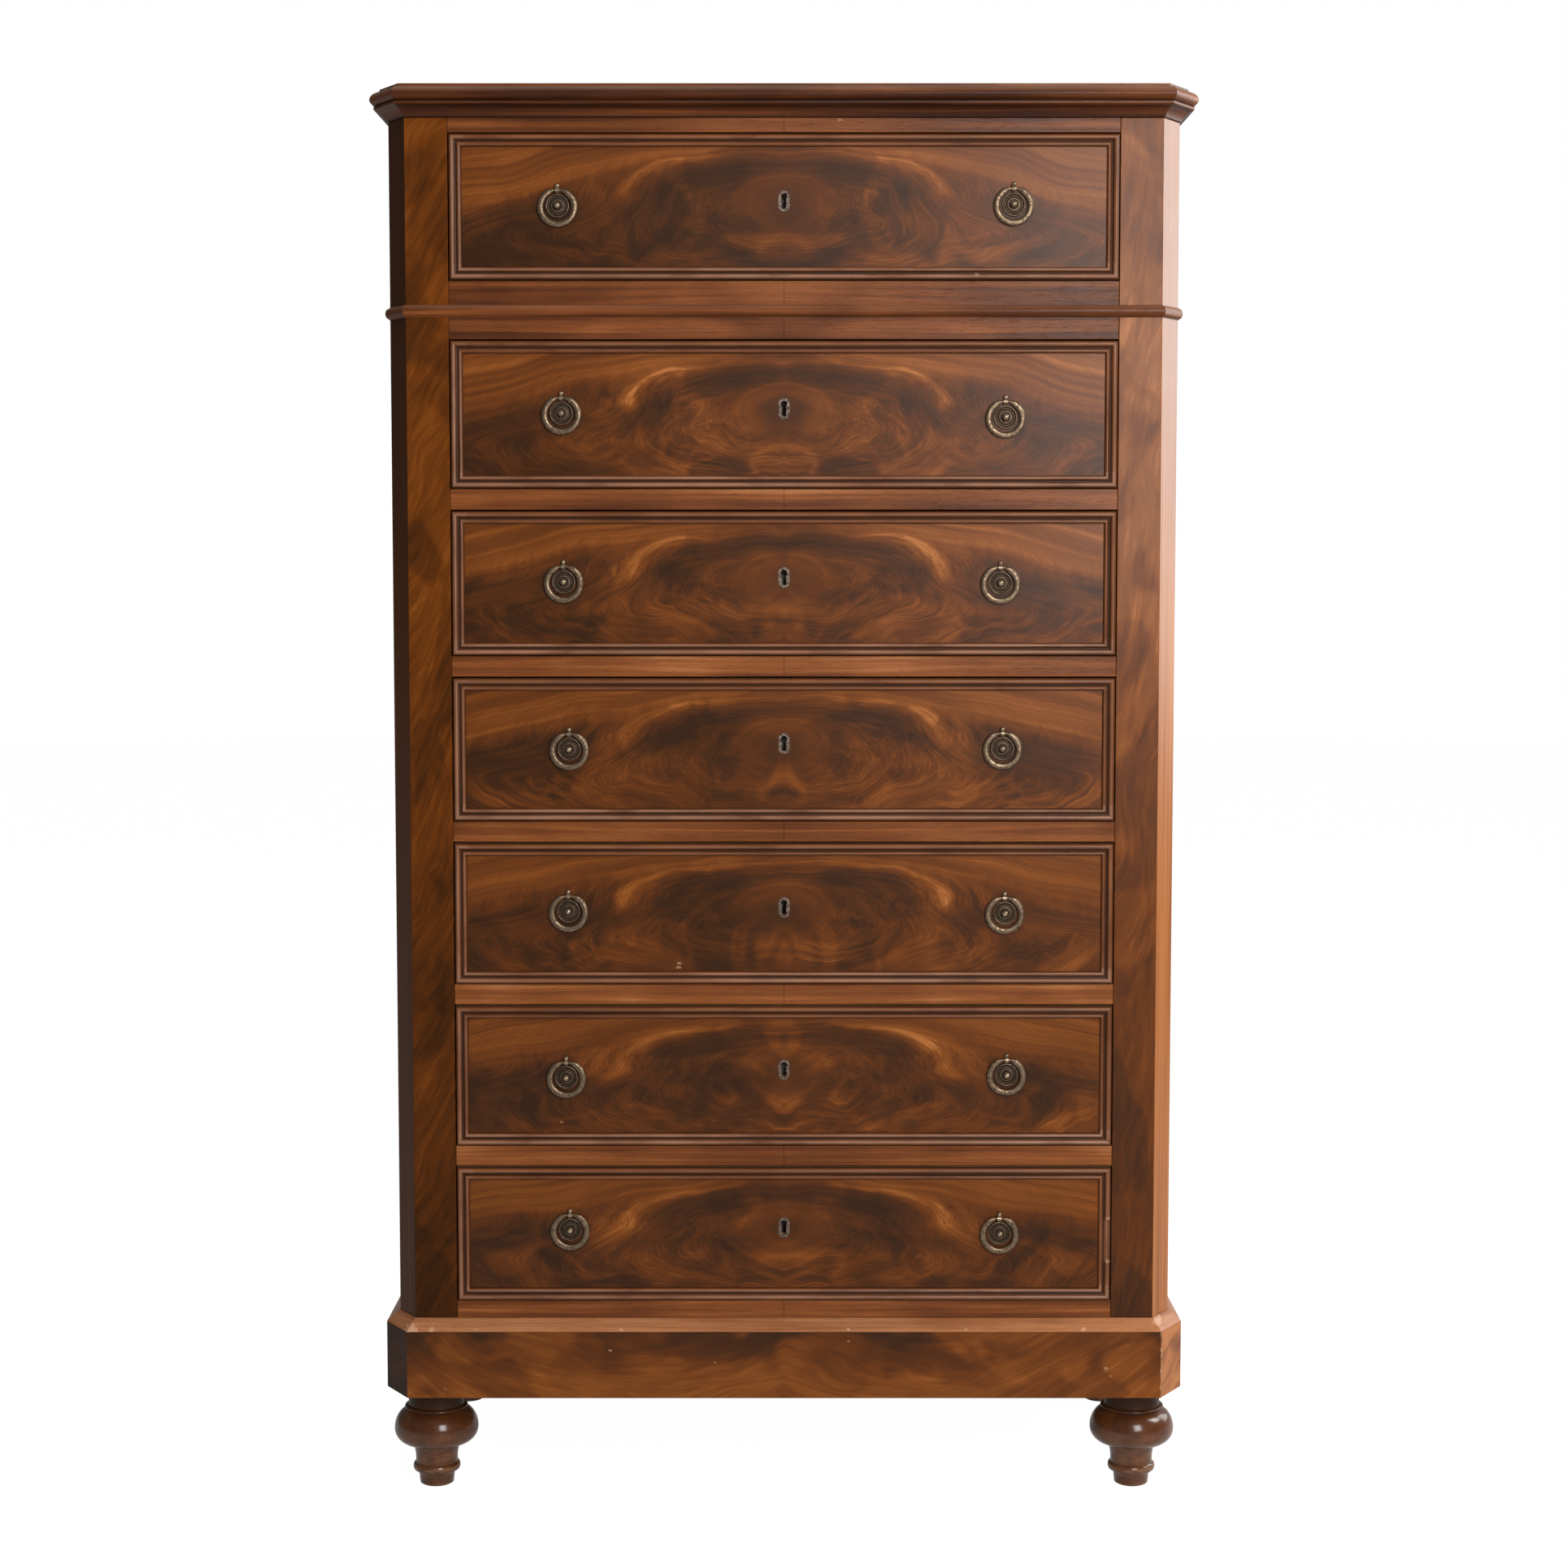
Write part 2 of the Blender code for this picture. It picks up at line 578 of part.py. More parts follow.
def ring_mesh():
    """Ring with its origin on the eye's axis, narrow and straight where it passes through."""
    rings = []
    for step in range(RING_STEPS):
        turn = 2 * math.pi * (step + 0.5) / RING_STEPS
        away = abs((math.degrees(turn) + 180) % 360 - 180)
        swell = min(1.0, max(0.0, (away - RING_EYE_SPAN) / RING_SWELL_SPAN))
        swell = swell * swell * (3 - 2 * swell)
        wide = RING_NECK + (RING_BAR_HALF - RING_NECK) * swell
        thick = RING_NECK + (RING_BAR_THICK - RING_NECK) * swell
        section = []
        for side in range(RING_SIDES):
            angle = 2 * math.pi * side / RING_SIDES
            radius = RING_RADIUS + wide * math.cos(angle)
            x, z = radius * math.sin(turn), radius * math.cos(turn) - RING_REACH
            section.append((x, thick * math.sin(angle), z))
        rings.append(section)
    solid = bmesh.new()
    rows = [[solid.verts.new(point) for point in section] for section in rings]
    for step in range(RING_STEPS):
        row, following = rows[step], rows[(step + 1) % RING_STEPS]
        for side in range(RING_SIDES):
            after = (side + 1) % RING_SIDES
            solid.faces.new((row[side], row[after], following[after], following[side]))
    bmesh.ops.recalc_face_normals(solid, faces=solid.faces)
    return shaped(solid)


def rosette_mesh():
    """Round rosette with a knob, a stud through the drawer front, and the ring's eye above it."""
    rim = ROSETTE_RADIUS
    thick = ROSETTE_THICK
    hollow = thick - ROSETTE_HOLLOW
    profile = [(rim, SEAT_GAP), (rim, thick), (ROSETTE_HOLLOW_RADIUS, hollow)]
    profile += [(ROSETTE_STEP_RADIUS, thick), (KNOB_NECK, hollow)]
    ball = arc((0, KNOB_OUT), (KNOB_RADIUS, KNOB_RADIUS), -45, 65, 2)
    disc = turned_forward(profile + ball, ROSETTE_SIDES)
    stud_end = FRONT_THICKNESS + STUD_BEHIND
    stud = turned_forward([(STUD_RADIUS, -stud_end), (STUD_RADIUS, hollow)], STUD_SIDES)
    rise = RING_REACH - ROSETTE_LIFT
    outer = EYE_HOLE + EYE_WALL
    foot = rim - EYE_WALL
    lug = [(-SEAT_GAP, foot), (-hollow, foot)] + arc((-EYE_OUT, rise), (-outer, outer), -60, 80, 3)
    lug.append((-SEAT_GAP, rise + outer))
    eye = sideways(lug, -EYE_HALF_WIDTH, EYE_HALF_WIDTH)
    ball_profile = arc((0, 0), (BALL_RADIUS, BALL_RADIUS), -65, 65, 2)
    finial = moved(turned(ball_profile, STUD_SIDES), 0, -EYE_OUT, rise + BALL_RISE)
    circle = arc((-EYE_OUT, rise), (EYE_HOLE, EYE_HOLE), 0, 315, 7)
    hole = sideways(circle, -2 * EYE_HALF_WIDTH, 2 * EYE_HALF_WIDTH)
    return shaped(disc, joined=[stud, eye, finial], cut=[hole])


# Assembly

def finish(name, look):
    """Material of one piece."""
    colour, roughness, metallic = look
    material = bpy.data.materials.new(name)
    material.use_nodes = True
    shader = material.node_tree.nodes["Principled BSDF"]
    shader.inputs["Base Color"].default_value = colour
    shader.inputs["Roughness"].default_value = roughness
    shader.inputs["Metallic"].default_value = metallic
    material.diffuse_color = colour
    return material


def piece(name, mesh, look, carrier, place=(0, 0, 0), smooth=False):
    """One named piece, placed in its carrier's frame."""
    part = mesh.copy()
    part.name = name
    part.materials.clear()
    part.materials.append(finish(name, look))
    if smooth:
        part.shade_smooth()
        part.set_sharp_from_angle(angle=SHARP_ANGLE)
    item = bpy.data.objects.new(name, part)
    item.parent = carrier
    item.location = place
    bpy.context.scene.collection.objects.link(item)
    return item


def carrier(name, place, parent=None):
    """Empty that carries the pieces which move together."""
    item = bpy.data.objects.new(name, None)
    item.location = place
    item.parent = parent
    bpy.context.scene.collection.objects.link(item)
    return item


def build_carcass():
    """Everything that stands still."""
    case = carrier("carcass", (0, FACE_Y, 0))
    piece("top_with_cornice", top_mesh(), POLISHED_WOOD, case)
    for word, side in (("left", -1), ("right", 1)):
        piece(f"{word}_side", side_mesh(side), POLISHED_WOOD, case)
        piece(f"{word}_post", post_mesh(side), VENEER, case)
    piece("back_panel", back_mesh(), PALE_WOOD, case)
    piece("plinth", plinth_mesh(), VENEER, case)
    piece("waist_frame", waist_mesh(), POLISHED_WOOD, case)
    for index in range(1, DRAWER_COUNT):
        thickness = BOTTOM_RAIL - SEAT_GAP if index == DRAWER_COUNT - 1 else RAIL
        mesh = frame_mesh(OPENINGS[index][0], thickness)
        piece(f"runner_frame_{index + 1}", mesh, POLISHED_WOOD, case)
    foot = foot_mesh()
    for depth_word, y in (("front", FOOT_FRONT), ("rear", FOOT_REAR)):
        for word, side in (("left", -1), ("right", 1)):
            place = (side * FOOT_X, y, 0)
            piece(f"{depth_word}_{word}_foot", foot, POLISHED_WOOD, case, place, smooth=True)


def build_drawer(index, ring, rosette):
    """One drawer with its two ring pulls, carried by an empty at the middle of its opening's sill."""
    name = f"drawer_{index + 1}"
    slide = carrier(name, (0, FACE_Y, OPENINGS[index][0]))
    piece(f"{name}_front", front_mesh(index), VENEER, slide)
    piece(f"{name}_box", box_mesh(index), PALE_WOOD, slide)
    for word, (x, z) in (("left", PULL_LEFT[index]), ("right", PULL_RIGHT[index])):
        middle = DRAWER_OPENINGS[index] / 2 + z
        place = (x, 0, middle + ROSETTE_LIFT)
        piece(f"{name}_{word}_rosette", rosette, BRONZE, slide, place, smooth=True)
        eye = (x, -EYE_OUT, middle + RING_REACH)
        piece(f"{name}_{word}_ring", ring, BRONZE, slide, eye, smooth=True)


def main():
    """Builds the whole chest."""
    for item in list(bpy.data.objects):
        bpy.data.objects.remove(item)
    build_carcass()
    ring = ring_mesh()
    rosette = rosette_mesh()
    for index in range(DRAWER_COUNT):
        build_drawer(index, ring, rosette)
    bpy.context.view_layer.update()


main()
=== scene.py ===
"""Looks of a tall seven-drawer chest in figured mahogany, built round its packed model.

Metres, +Z up. +X is to the right as one faces the drawers, and the drawers open towards -Y.
Each piece's mesh is made where the piece stands, so every finish reads coordinates of the chest.
"""
import logging
import math
from collections.abc import Callable, Iterable, Sequence
from dataclasses import dataclass, field, replace
from enum import Enum
from functools import reduce
from typing import Any, ClassVar, Optional, Union

import bmesh
import bpy
from mathutils import Matrix, Vector


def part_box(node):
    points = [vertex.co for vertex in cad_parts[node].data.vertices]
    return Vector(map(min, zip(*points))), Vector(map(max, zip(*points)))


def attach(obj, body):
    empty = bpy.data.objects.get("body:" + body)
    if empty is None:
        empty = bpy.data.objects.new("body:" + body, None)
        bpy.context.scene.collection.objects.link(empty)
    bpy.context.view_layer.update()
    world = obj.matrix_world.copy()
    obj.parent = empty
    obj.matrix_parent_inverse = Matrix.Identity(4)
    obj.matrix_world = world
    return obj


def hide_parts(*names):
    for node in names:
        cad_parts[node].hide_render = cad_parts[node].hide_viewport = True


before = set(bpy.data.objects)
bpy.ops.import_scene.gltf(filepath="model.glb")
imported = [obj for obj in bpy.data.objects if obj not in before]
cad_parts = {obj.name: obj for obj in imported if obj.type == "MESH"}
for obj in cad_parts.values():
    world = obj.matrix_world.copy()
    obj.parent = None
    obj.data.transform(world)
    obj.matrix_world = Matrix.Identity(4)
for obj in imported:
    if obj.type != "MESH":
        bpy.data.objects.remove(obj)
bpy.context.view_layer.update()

LOG = logging.getLogger("chest")

Point = tuple[float, float, float]
Pair = tuple[float, float]
Shade = tuple[float, float, float]
Stops = tuple[tuple[float, Shade], ...]
Value = Union["Term", float]
Trio = tuple[Value, Value, Value]

HANDS = (("left", -1), ("right", 1))
CORNERS = ("front_left", "front_right", "rear_left", "rear_right")
DRAWERS = range(1, 8)

HAIRLINE = 0.0001  # joint between two pieces glued together
SEAT_GAP = 0.0003  # joint between a piece and what it stands on or in
RAIL = 0.020  # thickness of the upright rails over the drawers
KICKER = 0.045  # width of the kickers that keep a drawer level when it is pulled out
SIDE_PANEL = 0.020  # thickness of the side panels
BACK_BOARD = 0.009  # thickness of the boards of the back
CANT: Pair = (0.0210, 0.0340)  # width and depth of the cants


# Shader words

def _operation(kind: str, meaning: str, swapped: bool = False) -> Callable[..., "Term"]:
    """Makes a method of Term that adds a Math node.

    Args:
        kind: the Math node's operation.
        meaning: what the method gives, as its docstring.
        swapped: whether the other value comes first.

    Returns:
        The method.
    """

    def method(term: "Term", *others: Value) -> "Term":
        """Adds the node and gives its result."""
        values = (*others, term) if swapped else (term, *others)
        return term.recipe.node("ShaderNodeMath", {"operation": kind}, dict(enumerate(values)))

    method.__doc__ = meaning
    return method


class Term:
    """Value of a shader socket, with Python's operators for the maths on it."""

    def __init__(self, recipe: "Recipe", socket: bpy.types.NodeSocket) -> None:
        """Keeps the socket and the recipe that it belongs to."""
        self.recipe = recipe
        self.socket = socket

    __add__ = __radd__ = _operation("ADD", "Sum.")
    __sub__ = _operation("SUBTRACT", "Difference.")
    __rsub__ = _operation("SUBTRACT", "Difference from a number.", swapped=True)
    __mul__ = __rmul__ = _operation("MULTIPLY", "Product.")
    __truediv__ = _operation("DIVIDE", "Quotient.")
    __pow__ = _operation("POWER", "Power.")
    __abs__ = _operation("ABSOLUTE", "Size without sign.")
    root = _operation("SQRT", "Square root.")
    turn = _operation("ARCTAN2", "Angle of the direction with this rise and the other's run.")
    most = _operation("MAXIMUM", "Greater of the two.")
    least = _operation("MINIMUM", "Lesser of the two.")

    def between(self, low: Value, high: Value) -> "Term":
        """Smooth step from 0 at low to 1 at high.

        Args:
            low: where it leaves 0.
            high: where it reaches 1.

        Returns:
            The step.
        """
        settings = {"interpolation_type": "SMOOTHSTEP", "clamp": True}
        inputs = {"Value": self, "From Min": low, "From Max": high}
        return self.recipe.node("ShaderNodeMapRange", settings, inputs)

    def stripe(self, middle: float, half: float) -> "Term":
        """Soft stripe that is 1 at the middle and 0 beyond half its width."""
        return (1.0 - abs(self - middle) / half).between(0.0, 1.0)


class Grain(Enum):
    """Way that a piece's grain runs, as an angle round Z from +X, or None for upright."""

    ACROSS = 0.0
    DEEP = math.pi / 2
    RIGHT_CANT = math.atan2(CANT[1], CANT[0])
    LEFT_CANT = -math.atan2(CANT[1], CANT[0])
    UPRIGHT = None


WORN: Shade = (0.300, 0.172, 0.092)  # timber where the polish is gone


class Recipe:
    """Node tree of one finish or of the world."""

    def __init__(self, owner: Union[bpy.types.Material, bpy.types.World]) -> None:
        """Empties the owner's node tree.

        Args:
            owner: the material or world that the nodes are for.
        """
        owner.use_nodes = True
        self.tree = owner.node_tree
        self.tree.nodes.clear()

    def node(
        self,
        kind: str,
        settings: Optional[dict[str, Any]] = None,
        inputs: Optional[dict[Any, Any]] = None,
        outlet: Union[int, str] = 0,
    ) -> Optional[Term]:
        """Adds a node of any kind.

        Args:
            kind: the node's type.
            settings: its own properties, set before its sockets; "stops" fills a ramp.
            inputs: values or links of its sockets, by name or number.
            outlet: the output socket that is wanted.

        Returns:
            That output, or None where the node has none.
        """
        item = self.tree.nodes.new(kind)
        for key, value in (settings or {}).items():
            if key == "stops":
                self._fill(item.color_ramp, value)
            else:
                setattr(item, key, value)
        for key, value in (inputs or {}).items():
            socket = item.inputs[key]
            if isinstance(value, Term):
                self.tree.links.new(value.socket, socket)
            else:
                socket.default_value = (*value, 1.0) if socket.type == "RGBA" else value
        return Term(self, item.outputs[outlet]) if item.outputs else None

    @staticmethod
    def _fill(ramp: bpy.types.ColorRamp, stops: Stops) -> None:
        """Sets a ramp's places and colours.

        Args:
            ramp: the ramp to fill.
            stops: place and colour of each stop.
        """
        while len(ramp.elements) < len(stops):
            ramp.elements.new(0.5)
        for element, (place, colour) in zip(ramp.elements, stops):
            element.position = place
            element.color = (*colour, 1.0)

    def split(self, at: Term) -> tuple[Term, Term, Term]:
        """Three parts of a vector or a colour."""
        outlets = self.node("ShaderNodeSeparateXYZ", inputs={0: at}).socket.node.outputs
        return Term(self, outlets[0]), Term(self, outlets[1]), Term(self, outlets[2])

    def places(self) -> tuple[Term, Term, Term]:
        """Coordinates on the chest at rest."""
        return self.split(self.node("ShaderNodeTexCoord", outlet="Object"))

    def axes(self, grain: Grain) -> tuple[Term, Term, Term]:
        """Coordinates along the grain, across it level with the face, and through it.

        Args:
            grain: the way that the grain runs.

        Returns:
            The three coordinates.
        """
        x, y, z = self.places()
        if grain is Grain.UPRIGHT:
            return z, x, y
        if grain is Grain.ACROSS:
            return x, z, y
        if grain is Grain.DEEP:
            return y, z, x
        run, rise = math.cos(grain.value), math.sin(grain.value)
        return x * run + y * rise, z, y * run - x * rise

    def noise(
        self,
        at: Trio,
        detail: float = 2.0,
        rough: float = 0.5,
        bend: float = 0.0,
        scale: float = 1.0,
        outlet: Union[int, str] = 0,
    ) -> Term:
        """Noise texture.

        Args:
            at: three coordinates at which it is read.
            detail: how many finer layers it has.
            rough: strength of the finer layers.
            bend: distortion.
            scale: its scale, the same along all three.
            outlet: its value, or "Color" for three values in one.

        Returns:
            The noise, from 0 to 1.
        """
        vector = self.node("ShaderNodeCombineXYZ", inputs=dict(enumerate(at)))
        inputs = {"Vector": vector, "Scale": scale, "Detail": detail, "Roughness": rough}
        inputs["Distortion"] = bend
        return self.node("ShaderNodeTexNoise", {"noise_dimensions": "3D"}, inputs, outlet)

    def drift(self, at: Trio, scale: float, detail: float = 1.0) -> tuple[Term, Term, Term]:
        """Slow wander of the fibres, from -0.5 to 0.5 each way."""
        parts = self.split(self.noise(at, detail, scale=scale, outlet="Color"))
        return parts[0] - 0.5, parts[1] - 0.5, parts[2] - 0.5

    def mix(self, factor: Value, first: Union[Term, Shade], second: Union[Term, Shade]) -> Term:
        """Mixes two colours.

        Args:
            factor: share of the second colour.
            first: a colour or a link to one.
            second: a colour or a link to one.

        Returns:
            The mixed colour.
        """
        inputs = {0: factor, 6: first, 7: second}
        return self.node("ShaderNodeMix", {"data_type": "RGBA"}, inputs, 2)

    def ramp(self, factor: Term, stops: Stops) -> Term:
        """Colour of a value on a ramp."""
        return self.node("ShaderNodeValToRGB", {"stops": stops}, {0: factor})

    def chipped(
        self, colour: Term, chips: Sequence[Point], share: float = 0.7, scar: Shade = WORN
    ) -> Term:
        """Colour with small worn places on it.

        Args:
            colour: colour of the sound surface.
            chips: each worn place's X and Z, and its size.
            share: how much of the scar's colour they show.
            scar: colour under the polish.

        Returns:
            The colour with its worn places.
        """
        if not chips:
            return colour
        x, _, z = self.places()
        ragged = self.noise((x, 0.0, z), 3.0, 0.65, scale=300.0) - 0.5
        spots = []
        for chip_x, chip_z, size in chips:
            aside, above = (x - chip_x) * 0.75, (z - chip_z) * 1.2
            far = (aside * aside + above * above).root() / size + ragged * 2.6
            spots.append(1.0 - far.between(0.5, 1.0))
        return self.mix(reduce(Term.most, spots) * share, colour, scar)

    def surface(self, colour: Term, rough: Value, height: Term, depth: float, **fixed: Any) -> None:
        """Ends the recipe with a Principled shader.

        Args:
            colour: base colour.
            rough: roughness.
            height: relief of the surface, from 0 to 1.
            depth: depth of that relief.
            fixed: the shader's other sockets.
        """
        relief = {"Height": height, "Distance": depth, "Strength": 1.0}
        inputs = {key.replace("_", " "): value for key, value in fixed.items()}
        inputs.update({"Base Color": colour, "Roughness": rough})
        inputs["Normal"] = self.node("ShaderNodeBump", inputs=relief)
        shader = self.node("ShaderNodeBsdfPrincipled", inputs=inputs)
        self.node("ShaderNodeOutputMaterial", inputs={"Surface": shader})


# Finishes

GLOSS = {"Specular_IOR_Level": 0.12, "Coat_Weight": 0.02, "Coat_Roughness": 0.14}
# Pale film on upward faces: partly dust, partly painted sheen.
DUST_AND_SHEEN: Shade = (0.200, 0.125, 0.088)
# Painted shade for the creases of the cornice.
GROOVE_SHADE: Shade = (0.016, 0.0065, 0.0035)
# Painted shade for the grooves of the beads.
BEAD_SHADE: Shade = (0.012, 0.0046, 0.0022)
RUBBED_ARRIS: Shade = (0.400, 0.240, 0.130)
BEAD_CREST: Shade = (0.215, 0.092, 0.040)
# Crest colour of the lower and left beads: partly wear, partly painted highlight.
WORN_CREST_AND_HIGHLIGHT: Shade = (0.300, 0.160, 0.098)
LATHE_FILM: Shade = (0.070, 0.034, 0.015)
LATHE_CREST: Shade = (0.270, 0.150, 0.072)
# Painted shade for the feet's necks under the plinth.
LATHE_NECK_SHADE: Shade = (0.022, 0.0105, 0.0055)
MAHOGANY: Stops = (
    (0.00, (0.034, 0.0085, 0.0022)),
    (0.30, (0.078, 0.0205, 0.0042)),
    (0.55, (0.135, 0.0375, 0.0080)),
    (0.80, (0.205, 0.0630, 0.0150)),
    (1.00, (0.300, 0.1120, 0.0380)),
)
VENEER: Stops = (
    (0.00, (0.026, 0.0085, 0.0018)),
    (0.20, (0.044, 0.0130, 0.0022)),
    (0.38, (0.069, 0.0185, 0.0026)),
    (0.56, (0.106, 0.0280, 0.0034)),
    (0.78, (0.172, 0.0500, 0.0070)),
    (1.00, (0.320, 0.1120, 0.0270)),
)
PALE: Stops = (
    (0.0, (0.170, 0.083, 0.034)),
    (0.4, (0.330, 0.185, 0.082)),
    (0.7, (0.450, 0.275, 0.132)),
    (1.0, (0.560, 0.380, 0.205)),
)


@dataclass(frozen=True, kw_only=True)
class Finish:
    """Surface of one timber or metal.

    Attributes:
        stock: the materials made so far, by finish and grain.
        slot: the record's material slot.
        chips: worn places, each across, up and size.
    """

    stock: ClassVar[dict[Any, bpy.types.Material]] = {}
    slot: str = "polished_wood"
    chips: tuple[Point, ...] = ()

    def build(self, recipe: Recipe, grain: Grain) -> None:
        """Fills a recipe with this finish."""
        raise NotImplementedError

    def material(self, grain: Grain) -> bpy.types.Material:
        """Material of this finish.

        Args:
            grain: the way that the piece's grain runs.

        Returns:
            The material, made at its first use.
        """
        key = (self, grain)
        if key not in Finish.stock:
            name = f"{type(self).__name__}_{grain.name}_{len(Finish.stock)}".lower()
            Finish.stock[key] = bpy.data.materials.new(name)
            self.build(Recipe(Finish.stock[key]), grain)
        return Finish.stock[key]


@dataclass(frozen=True, kw_only=True)
class PlainTimber(Finish):
    """Straight-grained timber, polished or bare.

    Attributes:
        stops: its colours, from dark to light.
        tone: where its middle colour is on them.
        figure: strength of its broad streaks.
        seam: whether two leaves meet at the chest's middle.
        bare: whether it is left unpolished.
        scar: colour of its worn places.
        dusty: share of dull film on the parts that face up.
        grooves: dark lines of old polish, each a level and half its height.
    """

    stops: Stops = MAHOGANY
    tone: float = 0.46
    figure: float = 0.9
    seam: bool = False
    bare: bool = False
    scar: Shade = WORN
    dust_and_sheen: float = 0.0
    grooves: tuple[Pair, ...] = ()

    def build(self, recipe: Recipe, grain: Grain) -> None:
        """Grain of streaks, fibres and pores along the piece.

        Args:
            recipe: the material's empty node tree.
            grain: the way that the piece's grain runs.
        """
        noise = recipe.noise
        along, wide, deep = recipe.axes(grain)
        leaf = abs(along) if self.seam else along
        wander = noise((leaf * 2.2, wide * 5.0, deep * 5.0)) - 0.5
        bent = wide + wander * 0.014
        broad = noise((leaf * 1.6, bent * 34.0, deep * 34.0), 3.0, 0.55, 0.3)
        streak = noise((leaf * 2.6, bent * 120.0, deep * 120.0), bend=0.4) - 0.5
        fibre = noise((leaf * 9.0, bent * 330.0, deep * 330.0), rough=0.6)
        pores = noise((along * 75.0, wide * 1500.0, deep * 1500.0), 1.0)
        cloud = noise((leaf * 8.0, wide * 14.0, deep * 9.0), bend=0.6)
        tone = self.tone + (broad - 0.5 + streak * 0.80) * self.figure
        tone = tone + (fibre - 0.5) * 0.40 + (cloud - 0.5) * 0.50
        if self.seam:
            tone = tone - abs(along).stripe(0.0, 0.0009) * 0.30
        pore = pores.between(0.60, 0.72)
        colour = recipe.mix(pore * 0.30, recipe.ramp(tone, self.stops), self.stops[0][1])
        colour = recipe.chipped(colour, self.chips, 0.55, self.scar)
        # Pale grey film on the faces that point up: partly dust, partly painted sheen from the
        # light above.
        if self.dust_and_sheen:
            _, _, lift = recipe.split(recipe.node("ShaderNodeNewGeometry", outlet="Normal"))
            film = lift.between(0.15, 0.85) * (0.4 + cloud) * self.dust_and_sheen
            colour = recipe.mix(film, colour, DUST_AND_SHEEN)
        # Painted shade: dark lines along the moulding's creases.
        for level, half in self.grooves:
            line = recipe.places()[2].stripe(level, half)
            colour = recipe.mix(line * 0.8, colour, GROOVE_SHADE)
        if self.bare:
            rough, relief = 0.62 + cloud * 0.16, fibre - pore * 0.5
            recipe.surface(colour, rough, relief, 0.00025, Specular_IOR_Level=0.25)
        else:
            recipe.surface(colour, 0.30 + cloud * 0.14, fibre * 0.4 - pore, 0.00010, **GLOSS)


@dataclass(frozen=True, kw_only=True)
class CrotchVeneer(Finish):
    """Two mirrored leaves of flame figure, joined at the chest's middle.

    Attributes:
        middle: level of the drawer's middle.
        leaf: which leaf of the flitch it is, as a depth in the log.
        dim: how much darker its lower half is.
    """

    middle: float
    leaf: float
    slot: str = "veneer"
    dim: float = 0.02

    def build(self, recipe: Recipe, grain: Grain) -> None:
        """Flat grain in the upper corners, an arch over smoky rings, an eye and curls below.

        Args:
            recipe: the material's empty node tree.
            grain: the way that the piece's grain runs.
        """
        noise = recipe.noise
        x, y, z = recipe.places()
        high, mirror, leaf = z - self.middle, abs(x), self.leaf

        # Rings round the keyhole, as distances and turns on bent coordinates
        bend_x, _, bend_z = recipe.drift((mirror, leaf, high), 7.0)
        tight_x, _, tight_z = recipe.drift((mirror, leaf, high), 24.0, 2.0)
        own_x, _, own_z = recipe.drift((x, leaf, high), 6.0)
        low = 1.0 - high.between(-0.034, 0.010)
        stir = 1.0 + low * 1.5
        side = mirror + (bend_x * 0.045 + tight_x * 0.012) * stir + own_x * 0.040
        rise = high - 0.002 + (bend_z * 0.022 + tight_z * 0.008) * stir + own_z * 0.014
        across, up = side / (0.176 + 0.070 * low), rise / (0.053 + 0.024 * low)
        square = 2.4  # a round ring has 2, and a squarer one more
        ring = (abs(across) ** square + abs(up) ** square) ** (1 / square)
        turn = up.turn(across)
        top = rise.between(-0.014, 0.012)
        murk = noise((x, leaf + 7.0, high * 1.4), bend=0.4, scale=6.5) - 0.5
        smoke_x = mirror * 0.8 + own_x * 0.14
        smoke = noise((smoke_x, leaf + 3.0, high * 1.3), bend=1.2, scale=12.0)

        # Band of flat grain in the upper corners
        feather = noise((x * 90.0, leaf, high * 26.0), bend=0.6) - 0.5
        line = high + mirror * 0.19 + bend_z * 0.030 + own_z * 0.014
        band = (line + feather * 0.014).between(0.050, 0.080) * ring.between(0.96, 1.12)
        inner = 1.0 - band
        strand = (mirror * 2.6 + bend_x * 0.5, leaf * 8.0, line * 120.0)
        strands = (noise(strand, 3.0, 0.6, 0.2) - 0.5) * 0.95 + 0.26

        # Eye at the keyhole and a light blot under it
        eye_x = (mirror + bend_x * 0.02 + own_x * 0.03) / 0.050
        eye_z = (high - 0.003 + own_z * 0.010) / 0.029
        eye_ring = (eye_x * eye_x + eye_z * eye_z).root()
        calm = eye_ring.between(0.5, 1.5)
        lines = noise((eye_ring * 3.0, turn * 0.5, leaf * 9.0)) - 0.5
        eye = eye_ring.stripe(0.75, 0.60) * (0.30 + 0.70 * top)
        eye = (eye + eye_ring.stripe(1.0, 0.12) * 0.5 * top) * 0.20 + lines * 0.32 * (1.0 - calm)
        blot_x, blot_z = side / 0.030, (rise + 0.040) / 0.019
        blot = (blot_x * blot_x + blot_z * blot_z).root().stripe(0.7, 0.5)

        # Threads along the rings, and curls in the lower half
        broad = noise((ring * 3.6, turn * 0.9, leaf * 2.0), bend=0.6) - 0.5
        fine = noise((ring * 11.0, turn * 1.1, leaf * 3.0), bend=0.7)
        wisp = (1.0 - abs(fine * 2.0 - 1.0)).between(0.80, 1.0) * (murk + 0.5).between(0.40, 0.66)
        thread = noise((ring * 34.0, turn * 2.0, leaf * 3.0), rough=0.6, bend=0.9)
        thread = (1.0 - abs(thread * 2.0 - 1.0)).between(0.80, 1.0)
        hair = noise((ring * 120.0, turn * 7.0, leaf), rough=0.6) - 0.5
        swirl = noise((mirror, leaf + 5.0, high * 1.15), 1.5, bend=2.4, scale=9.0)
        curl = (1.0 - abs(swirl * 2.0 - 1.0)).between(0.76, 1.0)
        curl = curl * (0.4 + smoke.between(0.40, 0.60))

